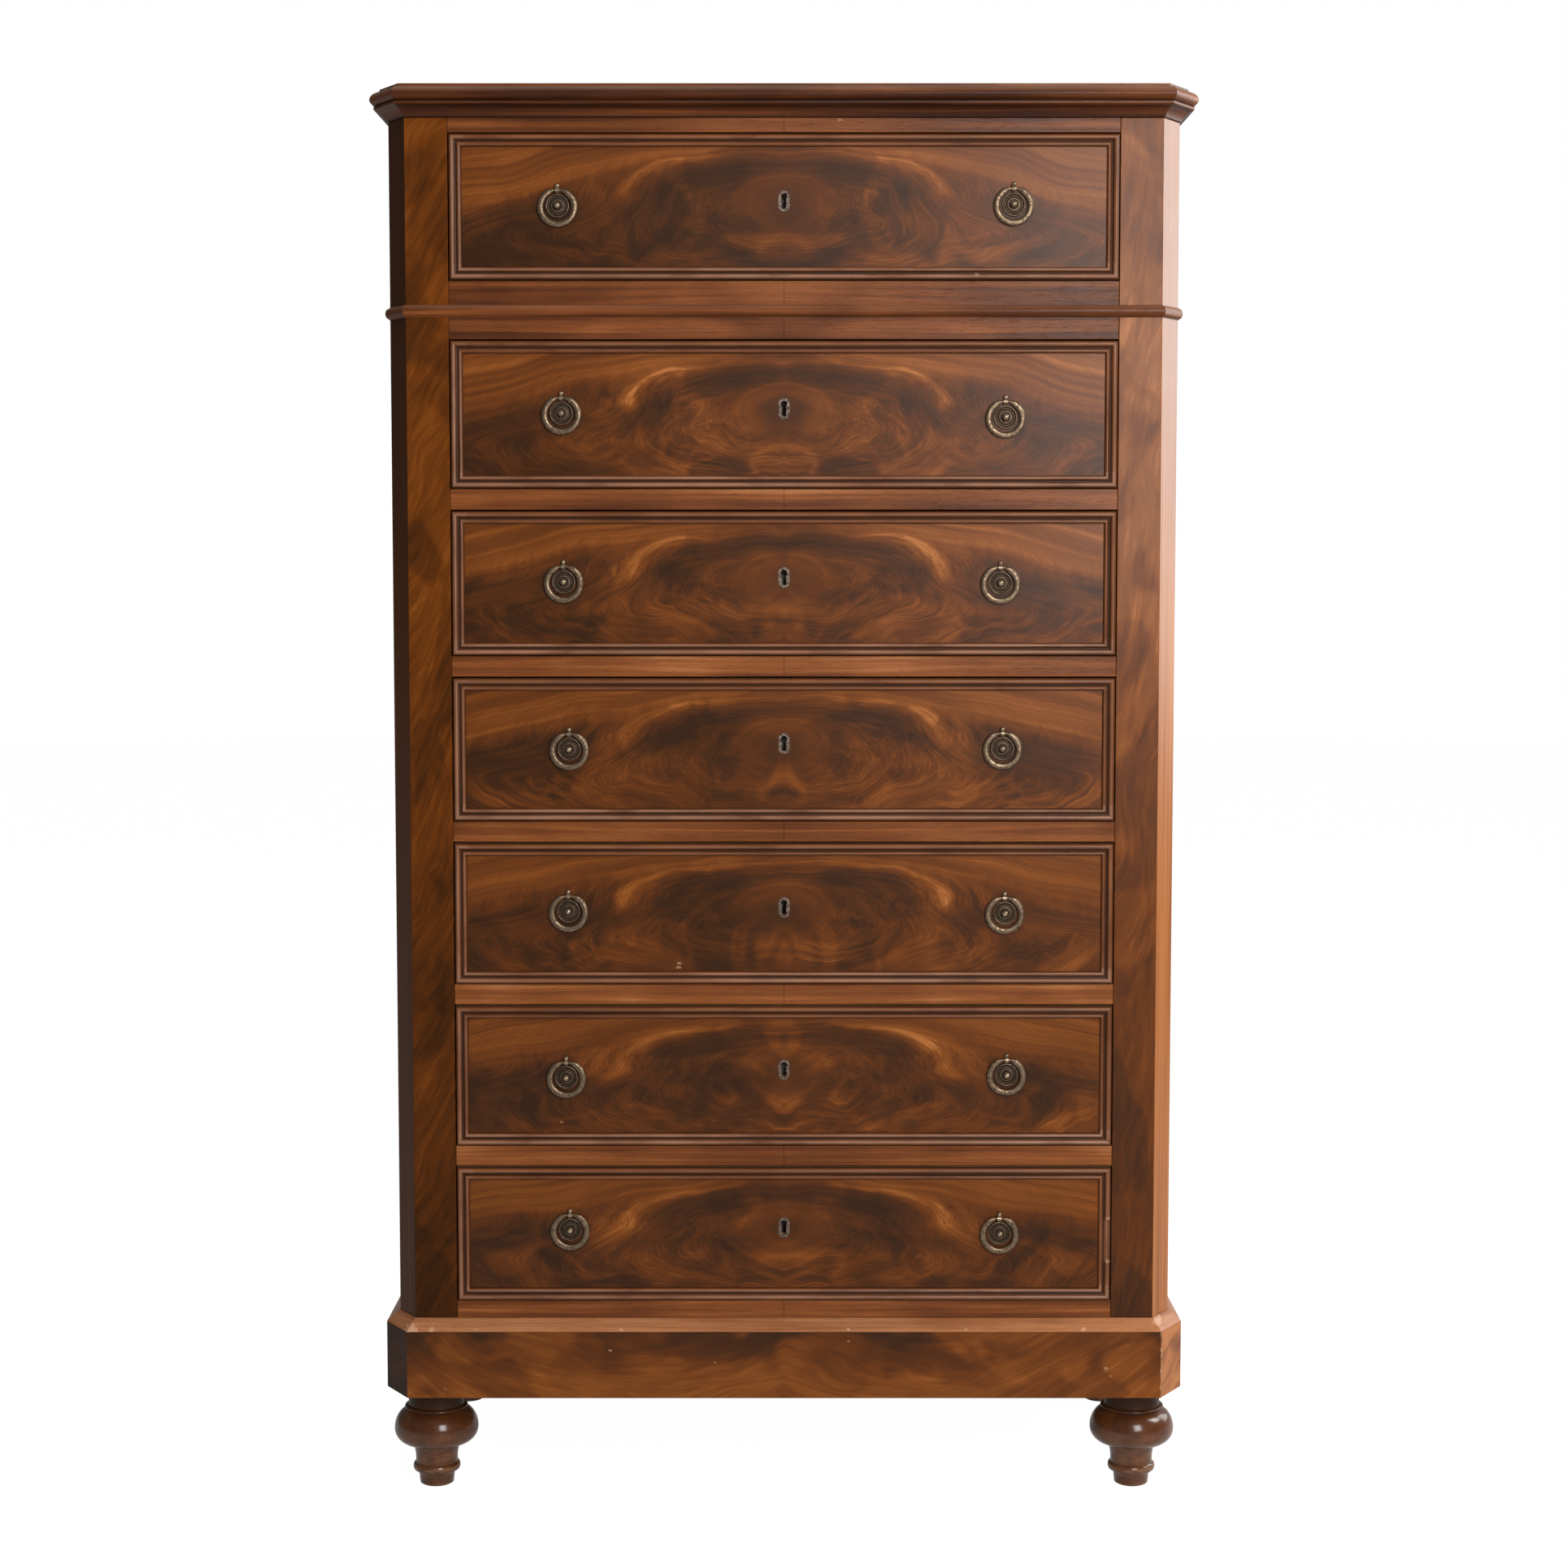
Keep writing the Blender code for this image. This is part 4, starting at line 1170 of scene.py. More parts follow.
@dataclass
class Top(Crossing):
    """Cornice, top board, frieze rail and the two kickers over drawer 1.

    Attributes:
        out: how far the cornice stands out.
        round_depth: depth of its large round.
        fillet_back: the fillet's face behind the round's front.
        hollow: height of the hollow.
        fillet: height of the fillet.
        lip: height of the top board's square edge.
        depth: how far its lengths reach in.
        board: thickness of the top board.
        under: from the crown down to what stands under the board.
    """

    node: str = "top_with_cornice"
    out: float = 0.0190
    round_depth: float = 0.0105
    fillet_back: float = 0.0042
    hollow: float = 0.0122
    fillet: float = 0.0030
    lip: float = 0.0026
    depth: float = 0.030
    board: float = 0.020
    under: float = 0.0202

    def section(self) -> list[Pair]:
        """Reach and level round the cornice: hollow, fillet, quirk, large round and lip.

        Returns:
            Points of the closed section, from the hollow's foot.
        """
        base, top = LAYOUT.cornice_base + SEAT_GAP, LAYOUT.crown
        face = self.out - self.fillet_back
        low, high = base + self.hollow, base + self.hollow + self.fillet
        hollow = [(0.0003, base)]
        steps, foot, rise = 10, base + 0.0003, self.hollow - 0.0003
        for step in range(steps + 1):
            along = step / steps
            out = (along + 1 - math.cos(along * math.pi / 2)) / 2
            up = (along + math.sin(along * math.pi / 2)) / 2
            hollow.append((0.0018 + (face - 0.0021) * out, foot + rise * up))
        fillet = [(face - 0.0001, low + 0.0002), (face, low + 0.0005), (face, high - 0.0004)]
        quirk = [(face - 0.0004, high), (face - 0.0024, high + 0.0003)]
        centre, edge = (self.out - self.round_depth, high + 0.0070), top - self.lip
        large = arc(centre, (self.round_depth, 0.0064), -52, 0, 8)
        large += arc(centre, (self.round_depth, edge - 0.0003 - centre[1]), 8, 80, 10)
        lip = [(centre[0], edge), (centre[0], top - 0.0004), (centre[0] - 0.0004, top)]
        inside = [(-self.depth, top), (-self.depth, base)]
        return hollow + fillet + quirk + large + lip + inside

    def build(self) -> None:
        """Makes the top's pieces."""
        base, crown, low = LAYOUT.cornice_base, LAYOUT.crown, LAYOUT.openings[0][1]
        self.mitred("cornice", self.section(), [CORNICE_TIMBER] * 5)
        inside = LAYOUT.plan(-self.depth - HAIRLINE)
        board = Blank.upright(inside, crown - self.board, crown).eased()
        self.piece("top_board", board, TOP_TIMBER)
        reach, top = LAYOUT.half - self.depth - HAIRLINE, crown - self.under
        deep = (LAYOUT.rear - RAIL, LAYOUT.rear)
        rail = Blank.block((-reach, reach), deep, (base, top)).eased(0.0005)
        self.piece("top_rear_rail", rail)
        self.build_rail("frieze_rail", low, base, FRIEZE_TIMBER)
        self.build_kickers("top", low, top)


@dataclass
class RunnerFrame(Assembly):
    """Rail, runners, rear rail and dust panel under one drawer.

    Attributes:
        number: the drawer that it carries.
        rail_depth: depth of its front and rear rails.
        runner: width of its runners inside the opening.
        sink: how far its panel lies below their faces.
        shoulder: from the carcass's face to where its runners widen behind the posts.
        thickness: thickness of drawer 1's frame, which stands behind the waist rail.
    """

    number: int = 2
    rail_depth: float = 0.055
    runner: float = 0.045
    sink: float = 0.0035
    shoulder: float = 0.060
    thickness: float = 0.02164

    def build(self) -> None:
        """Makes the frame's pieces."""
        self.node = "waist_frame" if self.number == 1 else f"runner_frame_{self.number}"
        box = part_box(self.node)
        low, top, near = box[0].z, box[1].z, LAYOUT.face
        timber: Finish = PlainTimber(tone=0.68 + 0.006 * self.number, figure=1.3, seam=True)
        if self.number == 1:
            low, near, timber = top - self.thickness, near + (RAIL + HAIRLINE), BARE_TIMBER
        name, half, levels = f"frame_{self.number}", OPENING, (low, top)
        rail_end = LAYOUT.face + self.rail_depth
        rail = Blank.block((-half, half), (near, rail_end), levels).eased(0.0005)
        self.piece(f"{name}_rail", rail, timber)
        rear = LAYOUT.rear - BACK_BOARD - SEAT_GAP
        inner, wide = LAYOUT.opening_half - self.runner, LAYOUT.half - SIDE_PANEL - SEAT_GAP
        start, shoulder = rail_end + HAIRLINE, LAYOUT.face + self.shoulder + SEAT_GAP
        plan = [(inner, start), (half, start), (half, shoulder)]
        plan += [(wide, shoulder), (wide, rear), (inner, rear)]
        for word, side in HANDS:
            runner = Blank.upright([(side * x, y) for x, y in plan], *levels).eased()
            self.piece(f"{name}_{word}_runner", runner, grain=Grain.DEEP)
        inner, far = inner - HAIRLINE, rear - self.rail_depth
        rail = Blank.block((-inner, inner), (far, rear), levels).eased()
        self.piece(f"{name}_rear_rail", rail)
        deep, levels = (start, far - HAIRLINE), (low + self.sink, top - self.sink)
        panel = Blank.block((-inner, inner), deep, levels).eased()
        self.piece(f"{name}_dust_panel", panel)


@dataclass
class Waist(Crossing):
    """Deep rail under drawer 1, its half-round moulding and the kickers over drawer 2.

    Attributes:
        half_height: half the moulding's height.
        out: how far the moulding stands out.
        drop: from the underside of drawer 1's opening to the moulding's middle.
        under: from that underside down to the kickers' tops.
    """

    node: str = "waist_frame"
    half_height: float = 0.0064
    out: float = 0.0050
    drop: float = 0.0315
    under: float = 0.0219

    def build(self) -> None:
        """Makes the waist's pieces."""
        low, top = LAYOUT.openings[1][1], LAYOUT.openings[0][0]
        self.build_rail("waist_rail", low, top, WAIST_RAIL_TIMBER)
        middle = top - self.drop
        foot, head, seat = middle - self.half_height, middle + self.half_height, 0.00005
        radii = (self.out - 0.0013, self.half_height - 0.0010)
        section = [(seat, foot), (0.0008, foot)] + arc((0.0013, middle), radii, -90, 90, 18)
        section += [(0.0008, head), (seat, head)]
        self.mitred("waist_moulding", section, [WAIST_TIMBER] * 5)
        self.build_kickers("waist", low, top - self.under)


@dataclass
class Case(Assembly):
    """Posts, side panels with their drawer guides, and the boards of the back.

    Attributes:
        post_depth: depth of the posts.
        guide_height: height of a guide.
        guide_inset: from a post's inner face to a guide's.
        joints: places across of the joints between the back's boards.
        chamfer: width of the chamfers along those joints.
    """

    post_depth: float = 0.060
    guide_height: float = 0.030
    guide_inset: float = 0.0005
    joints: tuple[float, ...] = (-0.247, -0.082, 0.061, 0.236)
    chamfer: float = 0.0018

    def __post_init__(self) -> None:
        """Reads where the case starts and ends."""
        self.base, self.head = LAYOUT.case_base + SEAT_GAP, LAYOUT.cornice_base

    def build(self) -> None:
        """Makes the case's pieces."""
        for word, side in HANDS:
            self.build_post(word, side)
            self.build_side(word, side)
        self.build_back()

    def build_post(self, word: str, side: int) -> None:
        """Makes one front post with its canted outer edge.

        Args:
            word: left or right.
            side: -1 or 1.
        """
        face, half, inner = LAYOUT.face, LAYOUT.half, LAYOUT.opening_half
        arris, shoulder, rear = half - CANT[0], face + CANT[1], face + self.post_depth
        plan = [(inner, face), (arris, face), (half, shoulder), (half, rear), (inner, rear)]
        outline = [(side * x, y) for x, y in plan]
        post = Blank.upright(outline, self.base, self.head).eased(0.0006)
        # Painted light: the right post and its cant are set lighter and the left ones darker, for
        # light that comes from the right.
        looks = dict(seed=2.0, tone=0.56, slant=0.50, edge=0.30, fade=0.25, vigour=0.9, sheen=0.04)
        if side > 0:
            looks = dict(seed=4.0, tone=0.78, slant=0.16, edge=0.88, fade=0.40, vigour=0.8)
            looks["polish"] = 0.24
        flame = FlameTimber(arris=arris, **looks)
        self.piece(f"{word}_front_post", post, flame, Grain.UPRIGHT, node=f"{word}_post")

    def build_side(self, word: str, side: int) -> None:
        """Makes one side panel with the guides inside it.

        Args:
            word: left or right.
            side: -1 or 1.
        """
        near, far = LAYOUT.face + self.post_depth + SEAT_GAP, LAYOUT.rear
        inner, node = LAYOUT.half - SIDE_PANEL, f"{word}_side"
        across, levels = (side * inner, side * LAYOUT.half), (self.base, self.head)
        panel = Blank.block(across, (near, far), levels).eased(0.0006)
        self.piece(f"{word}_side_panel", panel, SIDE_TIMBER, Grain.UPRIGHT, node=node)
        across = (side * (LAYOUT.opening_half + self.guide_inset), side * (inner - HAIRLINE))
        deep = (near, far - BACK_BOARD - 2 * SEAT_GAP)
        for number, (sill, _) in zip(DRAWERS, LAYOUT.openings):
            low = sill + SEAT_GAP
            guide = Blank.block(across, deep, (low, low + self.guide_height)).eased()
            self.piece(f"{word}_guide_{number}", guide, grain=Grain.DEEP, node=node)

    def build_back(self) -> None:
        """Makes the back's upright boards, chamfered along their joints."""
        half = LAYOUT.half - SIDE_PANEL - SEAT_GAP
        edges = [-half, *self.joints, half]
        near, far, chamfer = LAYOUT.rear - BACK_BOARD, LAYOUT.rear, self.chamfer
        for number, (left, right) in enumerate(zip(edges, edges[1:]), start=1):
            left, right = left + HAIRLINE, right - HAIRLINE
            plan = [(left, near), (right, near), (right, far - chamfer), (right - chamfer, far)]
            plan += [(left + chamfer, far), (left, far - chamfer)]
            board = Blank.upright(plan, self.base, self.head).eased(0.0003)
            timber = PlainTimber(tone=0.36 + 0.05 * (number % 3), figure=0.8, **BARE)
            name = f"back_board_{number}"
            self.piece(name, board, timber, Grain.UPRIGHT, node="back_panel")


@dataclass
class Plinth(Assembly):
    """Boxed plinth with a sloping cap, the board that closes it and its corner blocks.

    Attributes:
        out: how far it stands out from the carcass.
        face: height of its boards.
        board: thickness of its boards.
        ledge: how far the cap's top stands out from the carcass.
        lid: thickness of the closing board.
        corner: how far a corner block reaches from the foot's axis.
        ease: how far the lower arris is taken back.
    """

    node: str = "plinth"
    out: float = 0.0142
    face: float = 0.0723
    board: float = 0.030
    ledge: float = 0.0010
    lid: float = 0.010
    corner: float = 0.037
    ease: float = 0.0008

    def build(self) -> None:
        """Makes the plinth's pieces."""
        low, top = LAYOUT.foot_top, LAYOUT.case_base
        shoulder, out, back = low + self.face, self.out, self.out - self.board
        joint = shoulder - HAIRLINE
        section = [(out - self.ease, low), (out, low + self.ease), (out, joint)]
        section += [(back, joint), (back, low)]
        self.mitred("plinth_board", section, self.flames())
        section = [(out - 0.0004, shoulder), (out, shoulder + 0.0004)]
        section += [(out - 0.0005, shoulder + 0.0012), (self.ledge + 0.0003, top - 0.0003)]
        section += [(self.ledge - 0.0002, top), (back, top), (back, shoulder)]
        self.mitred("plinth_cap", section, [CAP_TIMBER] * 5)
        lid = Blank.upright(LAYOUT.plan(back - HAIRLINE), top - self.lid, top).eased()
        self.piece("plinth_lid", lid)
        inner, ceiling = LAYOUT.half + back - HAIRLINE, top - self.lid - HAIRLINE
        deep = (LAYOUT.rear - self.board, LAYOUT.rear)
        tail = Blank.block((-inner, inner), deep, (low, ceiling)).eased()
        self.piece("plinth_rear_board", tail)
        for name in CORNERS:
            self.build_block(name, inner, ceiling)

    def flames(self) -> list[Finish]:
        """Veneer of the right side, right cant, front, left cant and left side.

        Returns:
            The five finishes.
        """
        rubbed = (LAYOUT.plan(self.out)[2][0], LAYOUT.foot_top)
        front = dict(murk=(LAYOUT.foot_top + 0.6 * self.face, 0.46), chips=PLINTH_CHIPS)
        # Painted light: the right cant and side are far lighter than the left ones.
        return [
            FlameTimber(seed=11.0, tone=0.60, slant=0.6),
            FlameTimber(seed=12.0, tone=0.94, slant=0.6, rubbed=rubbed),
            FlameTimber(seed=13.0, tone=0.70, bowl=0.16, vigour=0.7, rubbed=rubbed, **front),
            FlameTimber(seed=14.0, tone=0.16, slant=0.6, sheen=0.03),
            FlameTimber(seed=15.0, tone=0.40, slant=0.6),
        ]

    def build_block(self, name: str, inner: float, top: float) -> None:
        """Makes the block over one foot, bored for its tenon.

        Args:
            name: which foot it is.
            inner: the side boards' inner faces.
            top: underside of the lid.
        """
        middle = (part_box(f"{name}_foot")[0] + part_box(f"{name}_foot")[1]) / 2
        side, base = math.copysign(1.0, middle.x), LAYOUT.foot_top
        across = (side * inner, middle.x - side * self.corner)
        if "front" in name:
            near = LAYOUT.face + self.board - self.out + HAIRLINE
            far = middle.y + self.corner
        else:
            near, far = middle.y - self.corner, LAYOUT.rear - self.board - HAIRLINE
        block = Blank.block(across, (near, far), (base, top)).eased()
        bore = Blank.turned([(0.0103, base - 0.01), (0.0103, base + 0.0303)], 24)
        mesh = block.mesh(cut=[bore.moved(middle.x, middle.y)])
        self.piece(f"plinth_{name}_block", mesh, grain=Grain.UPRIGHT)


@dataclass
class Foot(Assembly):
    """Turned foot.

    Attributes:
        name: which foot it is.
        sides: facets round it.
    """

    name: str = "front_left"
    sides: int = 72

    def profile(self) -> list[Pair]:
        """Radius and level of the turning, from the floor up.

        Returns:
            Points of the profile.
        """
        top, bun = LAYOUT.foot_top - SEAT_GAP, LAYOUT.foot_top - 0.0460
        toe = [(0.0156, 0.0), (0.0164, 0.0004), (0.0182, 0.0016), (0.0195, 0.0138)]
        toe += [(0.0200, 0.0146), (0.0228, 0.0152)]
        bead = arc((0.0232, 0.0198), (0.0024, 0.0042), -80, 80, 8)
        stem = [(0.0226, 0.0246), (0.0226, 0.0256), (0.0228, 0.0330), (0.0240, 0.0400)]
        stem += [(0.0262, 0.0452)]
        swell = arc((0.0285, bun), (0.0170, 0.0165), -66, 0, 12)
        swell += arc((0.0300, bun), (0.0155, 0.0215), 6, 74, 12)
        collar = [(0.0322, 0.0848)] + arc((0.0320, 0.0865), (0.0022, 0.0019), -60, 80, 6)
        collar += [(0.0302, 0.0892), (0.0300, 0.0900), (0.0300, top)]
        tenon = [(0.0100, top), (0.0100, top + 0.0290), (0.0090, top + 0.0300)]
        return toe + bead + stem + swell + collar + tenon

    def build(self) -> None:
        """Makes the foot."""
        self.node = f"{self.name}_foot"
        low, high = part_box(self.node)
        middle = (low + high) / 2
        foot = Blank.turned(self.profile(), self.sides).moved(middle.x, middle.y)
        finish = TurnedTimber(axis=(middle.x, middle.y), top=LAYOUT.foot_top)
        self.piece(f"{self.name}_turned_foot", foot, finish, Grain.UPRIGHT, 40.0)


# Drawers

@dataclass
class Lock(Assembly):
    """Lock of a drawer: lining of the keyhole, case, bolt, pin and screws.

    Attributes:
        name: first word of its pieces' names.
        key: level of the keyhole's middle.
        head: level of the drawer front's top.
        hole: radius of the keyhole's round and half the width of its slot.
        hole_drop: from the keyhole's middle down to the slot's end.
        pin_rise: from there up to the axis of the round and of the pin.
        lining: radius of the lining's ends.
        lining_rise: from the keyhole's middle to the middle of each end.
        seat: depth of the lining's seat in the front.
        case: half the case's width and how far it reaches down from the keyhole's middle.
        room: the same two for the room that is cut for it.
        near: from the front's face to the case.
        far: from there to the case's back.
        bolt: half the bolt's width.
        mouth: half the width of its way through the case.
        screws: distance of the screws from the middle.
    """

    name: str = ""
    key: float = 0.0
    head: float = 0.0
    hole: Pair = (0.0033, 0.0024)
    hole_drop: float = 0.0080
    pin_rise: float = 0.0047
    lining: float = 0.0061
    lining_rise: float = 0.0049
    seat: float = 0.0025
    case: Pair = (0.0338, 0.0206)
    room: Pair = (0.0342, 0.0210)
    near: float = 0.0153
    far: float = 0.0203
    bolt: float = 0.0088
    mouth: float = 0.0092
    screws: float = 0.029

    def keyhole(self, near: float, far: float) -> Blank:
        """Keyhole, a round above a straight slot, between two depths behind the face.

        Args:
            near: where it starts.
            far: where it ends.

        Returns:
            Cutter in the keyhole's shape.
        """
        (radius, slot), foot = self.hole, self.key - self.hole_drop
        lift = math.degrees(math.asin(slot / radius))
        centre = (0, self.key + self.pin_rise)
        outline = arc(centre, (radius, radius), lift - 90, 270 - lift, 20)
        outline += [(-slot, foot), (slot, foot)]
        return Blank.lengthwise(outline, LAYOUT.face + near, LAYOUT.face + far)

    def lens(self, near: float, far: float) -> Blank:
        """Lining's outline, round at head and foot, between two depths behind the face.

        Args:
            near: where it starts.
            far: where it ends.

        Returns:
            Solid in the lining's shape.
        """
        rise, radii = self.lining_rise, (self.lining, self.lining)
        outline = arc((0, self.key + rise), radii, 0, 180, 18)
        outline += arc((0, self.key - rise), radii, 180, 360, 18)
        return Blank.lengthwise(outline, LAYOUT.face + near, LAYOUT.face + far)

    def recesses(self) -> list[Blank]:
        """Cutters that make room for the lock in the front's core.

        Returns:
            Room for the case, the keyhole and the lining's seat.
        """
        (half, drop), face = self.room, LAYOUT.face
        levels = (self.key - drop, self.head + 0.01)
        case = Blank.block((-half, half), (face + 0.0150, face + 0.03), levels)
        return [case, self.keyhole(-0.01, 0.03), self.lens(-0.01, self.seat)]

    def build(self) -> None:
        """Makes the lock's pieces."""
        name, (half, drop), head = self.name, self.case, self.head
        lining = self.lens(-0.0004, 0.0022).eased(0.0003)
        mesh = lining.mesh(cut=[self.keyhole(-0.02, 0.02)])
        self.piece(f"{name}_keyhole_lining", mesh, LINING)
        near, far = LAYOUT.face + self.near, LAYOUT.face + self.far
        levels = (self.key - drop, head - 0.0002)
        case = Blank.block((-half, half), (near, far), levels).eased()
        deep, levels = (near + 0.0010, far - 0.0010), (head - 0.006, head + 0.01)
        mouth = Blank.block((-self.mouth, self.mouth), deep, levels)
        self.piece(f"{name}_lock_case", case.mesh(cut=[mouth]), STEEL)
        deep, levels = (near + 0.0013, far - 0.0013), (head - 0.0055, head - 0.0004)
        bolt = Blank.block((-self.bolt, self.bolt), deep, levels).eased()
        self.piece(f"{name}_lock_bolt", bolt, LINING)
        profile = [(0.0008, -0.0152), (0.0008, -0.0060), (0.0004, -0.0055)]
        pin = Blank.turned(profile, 16, forward=True)
        pin.moved(0.0, LAYOUT.face, self.key + self.pin_rise)
        self.piece(f"{name}_lock_pin", pin, STEEL)
        profile = [(0.0026, 0.0), (0.0024, 0.0006), (0.0012, 0.0009)]
        for word, side in HANDS:
            for level, below in (("upper", 0.006), ("lower", 0.030)):
                screw = Blank.turned(profile, 20, forward=True).reversed()
                screw.moved(side * self.screws, far, self.key + 0.020 - below)
                self.piece(f"{name}_{word}_{level}_lock_screw", screw, STEEL, smooth=40.0)


@dataclass
class Drawer(Assembly):
    """Drawer with its veneered front, double beads, lock and dovetailed box.

    Attributes:
        number: which drawer it is.
        veneer: thickness of the front's veneer.
        front: thickness of the front.
        key_rise: the keyhole's middle above the opening's middle.
        side: thickness of the box's sides and back.
        bottom: thickness of its bottom.
        rebate: depth of the grooves that hold the bottom.
        tails: how many dovetails join each corner.
        tail: length of the dovetails in the front.
    """

    number: int = 1
    veneer: float = 0.0009
    front: float = 0.020
    key_rise: float = 0.0060
    side: float = 0.011
    bottom: float = 0.006
    rebate: float = 0.0045
    tails: int = 4
    tail: float = 0.012

    def __post_init__(self) -> None:
        """Reads the drawer's place from the frame."""
        self.body = self.name = f"drawer_{self.number}"
        self.front_node, self.box_node = f"{self.name}_front", f"{self.name}_box"
        self.low, self.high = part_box(self.front_node)
        self.half, self.face = self.high.x, LAYOUT.face
        self.inside = self.face + self.front
        self.crest = self.face - self.low.y
        self.middle = sum(LAYOUT.openings[self.number - 1]) / 2
        key = self.middle + self.key_rise
        self.lock = Lock(body=self.body, name=self.name, key=key, head=self.high.z)

    def stud_holes(self) -> list[Blank]:
        """Bores for the two studs, from before the front to behind it.

        Returns:
            Cutters, the left one first.
        """
        holes = []
        for word, _ in HANDS:
            low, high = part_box(f"{self.name}_{word}_rosette")
            bore = Blank.turned([(0.0023, -0.04), (0.0023, 0.02)], 20, forward=True)
            holes.append(bore.moved((low.x + high.x) / 2, self.face, low.z + 0.0118))
        return holes

    def side_outline(self, far: float, low: float, high: float) -> list[Pair]:
        """Outline of a box side with its tails at both ends.

        Args:
            far: the box's rear face.
            low: the side's lower edge.
            high: its upper edge.

        Returns:
            Points in Y and Z.
        """
        front, rear = self.inside, far - self.side
        pitch = (high - low) / self.tails
        neck, flare = pitch * 0.30, pitch * 0.39

        def end(shoulder: float, tip: float) -> list[Pair]:
            """Points of the tails at one end, from the lowest up.

            Args:
                shoulder: where they start.
                tip: where they end.

            Returns:
                The points.
            """
            points = []
            for index in range(self.tails):
                centre = low + pitch * (index + 0.5)
                points += [(shoulder, centre - neck), (tip, centre - flare)]
                points += [(tip, centre + flare), (shoulder, centre + neck)]
            return points

        near = [(front, low)] + end(front, front - self.tail) + [(front, high)]
        return near + [(rear, high)] + end(rear, far)[::-1] + [(rear, low)]

    def build(self) -> None:
        """Makes the drawer's pieces."""
        self.build_front(self.build_box(*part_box(self.box_node)))
        self.build_beads()
        self.lock.build()

    def build_box(self, low: Vector, high: Vector) -> list[Blank]:
        """Makes the box's sides, back and bottom.

        Args:
            low: the box's lowest corner.
            high: its highest corner.

        Returns:
            Cutters in the shape of the sides, for the front's sockets.
        """
        node, outline = self.box_node, self.side_outline(high.y, low.z, high.z)
        half, thick, joint = self.half, self.side, HAIRLINE
        floor = low.z + 0.0035
        ceiling, rear = floor + self.bottom + joint, high.y - thick
        sockets: dict[str, list[Blank]] = {"front": [], "back": []}
        for word, hand in HANDS:
            span = (hand * (half - 0.006), hand * (half - 0.030))
            groove = Blank.block(span, (self.inside, rear), (floor - joint, ceiling))
            span = sorted((hand * half, hand * (half - thick)))
            mesh = Blank.sideways(outline, *span).mesh(cut=[groove])
            self.piece(f"{self.name}_{word}_box_side", mesh, grain=Grain.DEEP, node=node)
            for cutters in sockets.values():
                span = sorted((hand * (half + 0.01), hand * (half - thick - joint)))
                cutters.append(Blank.sideways(outline, *span))
        back = Blank.block((-half, half), (rear, high.y), (ceiling, high.z - 0.010))
        self.piece(f"{self.name}_box_back", back.mesh(cut=sockets["back"]), node=node)
        inner, rear_half = half - thick + self.rebate, half - thick - joint
        start, shoulder = self.inside + joint, rear - joint
        plan = [(inner, start), (inner, shoulder), (rear_half, shoulder), (rear_half, high.y)]
        plan += [(-x, y) for x, y in reversed(plan)]
        bottom = Blank.upright(plan, floor, floor + self.bottom)
        self.piece(f"{self.name}_box_bottom", bottom, node=node)
        return sockets["front"]

    def build_front(self, sockets: list[Blank]) -> None:
        """Makes the front's core and veneer.

        Args:
            sockets: cutters for the sides' tails.
        """
        face, step, width = self.face, self.face + self.veneer, (-self.half, self.half)
        levels = (self.low.z, self.high.z)
        core = Blank.block(width, (step, self.inside), levels).eased(0.0003)
        mesh = core.mesh(cut=[*sockets, *self.lock.recesses(), *self.stud_holes()])
        self.piece(f"{self.name}_front_core", mesh, CORE_TIMBER, node=self.front_node)
        sheet = Blank.block(width, (face, step), levels)
        mesh = sheet.mesh(cut=[self.lock.lens(-0.01, 0.01), *self.stud_holes()])
        finish = CrotchVeneer(
            middle=self.middle,
            leaf=0.30 + 0.045 * self.number,
            chips=VENEER_CHIPS.get(self.number, ()),
            dim=0.19 if self.number == 1 else 0.02,
        )
        self.piece(f"{self.name}_veneer", mesh, finish, node=self.front_node)

    def bead_section(self) -> list[Pair]:
        """Inset from the edge and reach of the double bead, closed by its base.

        Returns:
            Points of the section, from the edge inwards.
        """
        outer = [(0.0, 0.0)] + arc((0.0032, 0.0016), (0.0032, self.crest - 0.0016), 180, 0, 18)
        groove = [(0.0064, 0.0009), (0.0066, 0.0008), (0.0078, 0.0008), (0.0080, 0.0009)]
        inner = arc((0.0105, 0.0012), (0.0025, 0.0030), 180, 0, 14) + [(0.0132, 0.0)]
        return outer + groove + inner

    def build_beads(self) -> None:
        """Makes the four mitred lengths of double bead."""
        low, high = self.low.z, self.high.z
        half, middle = (self.half, (high - low) / 2), (high + low) / 2
        finish = BeadTimber(half=half, middle=middle, chips=BEAD_CHIPS.get(self.number, ()))
        stations = []
        for side, rise in ((-1, -1), (1, -1), (1, 1), (-1, 1)):
            points = []
            for inset, out in self.bead_section():
                z = low + inset if rise < 0 else high - inset
                points.append((side * (self.half - inset), self.face - out, z))
            stations.append(points)
        for index, word in enumerate(("lower", "right", "upper", "left")):
            length = Blank([stations[index], stations[(index + 1) % 4]])
            mesh, name = length.mesh(cut=self.bead_damage(word)), f"{self.name}_{word}_bead"
            grain = Grain.UPRIGHT if word in ("left", "right") else Grain.ACROSS
            self.piece(name, mesh, finish, grain, 35.0, self.front_node)

    def bead_damage(self, word: str) -> list[Blank]:
        """Hollow where a length of the last drawer's outer bead has split away.

        Args:
            word: which length it is.

        Returns:
            Cutter for that length, or none.
        """
        if self.number != DRAWERS[-1] or word != "right":
            return []
        across = (self.half - 0.0066, self.half + 0.001)
        deep = (self.face - self.crest - 0.001, self.face - 0.0016)
        return [Blank.block(across, deep, (0.2570, 0.3010))]


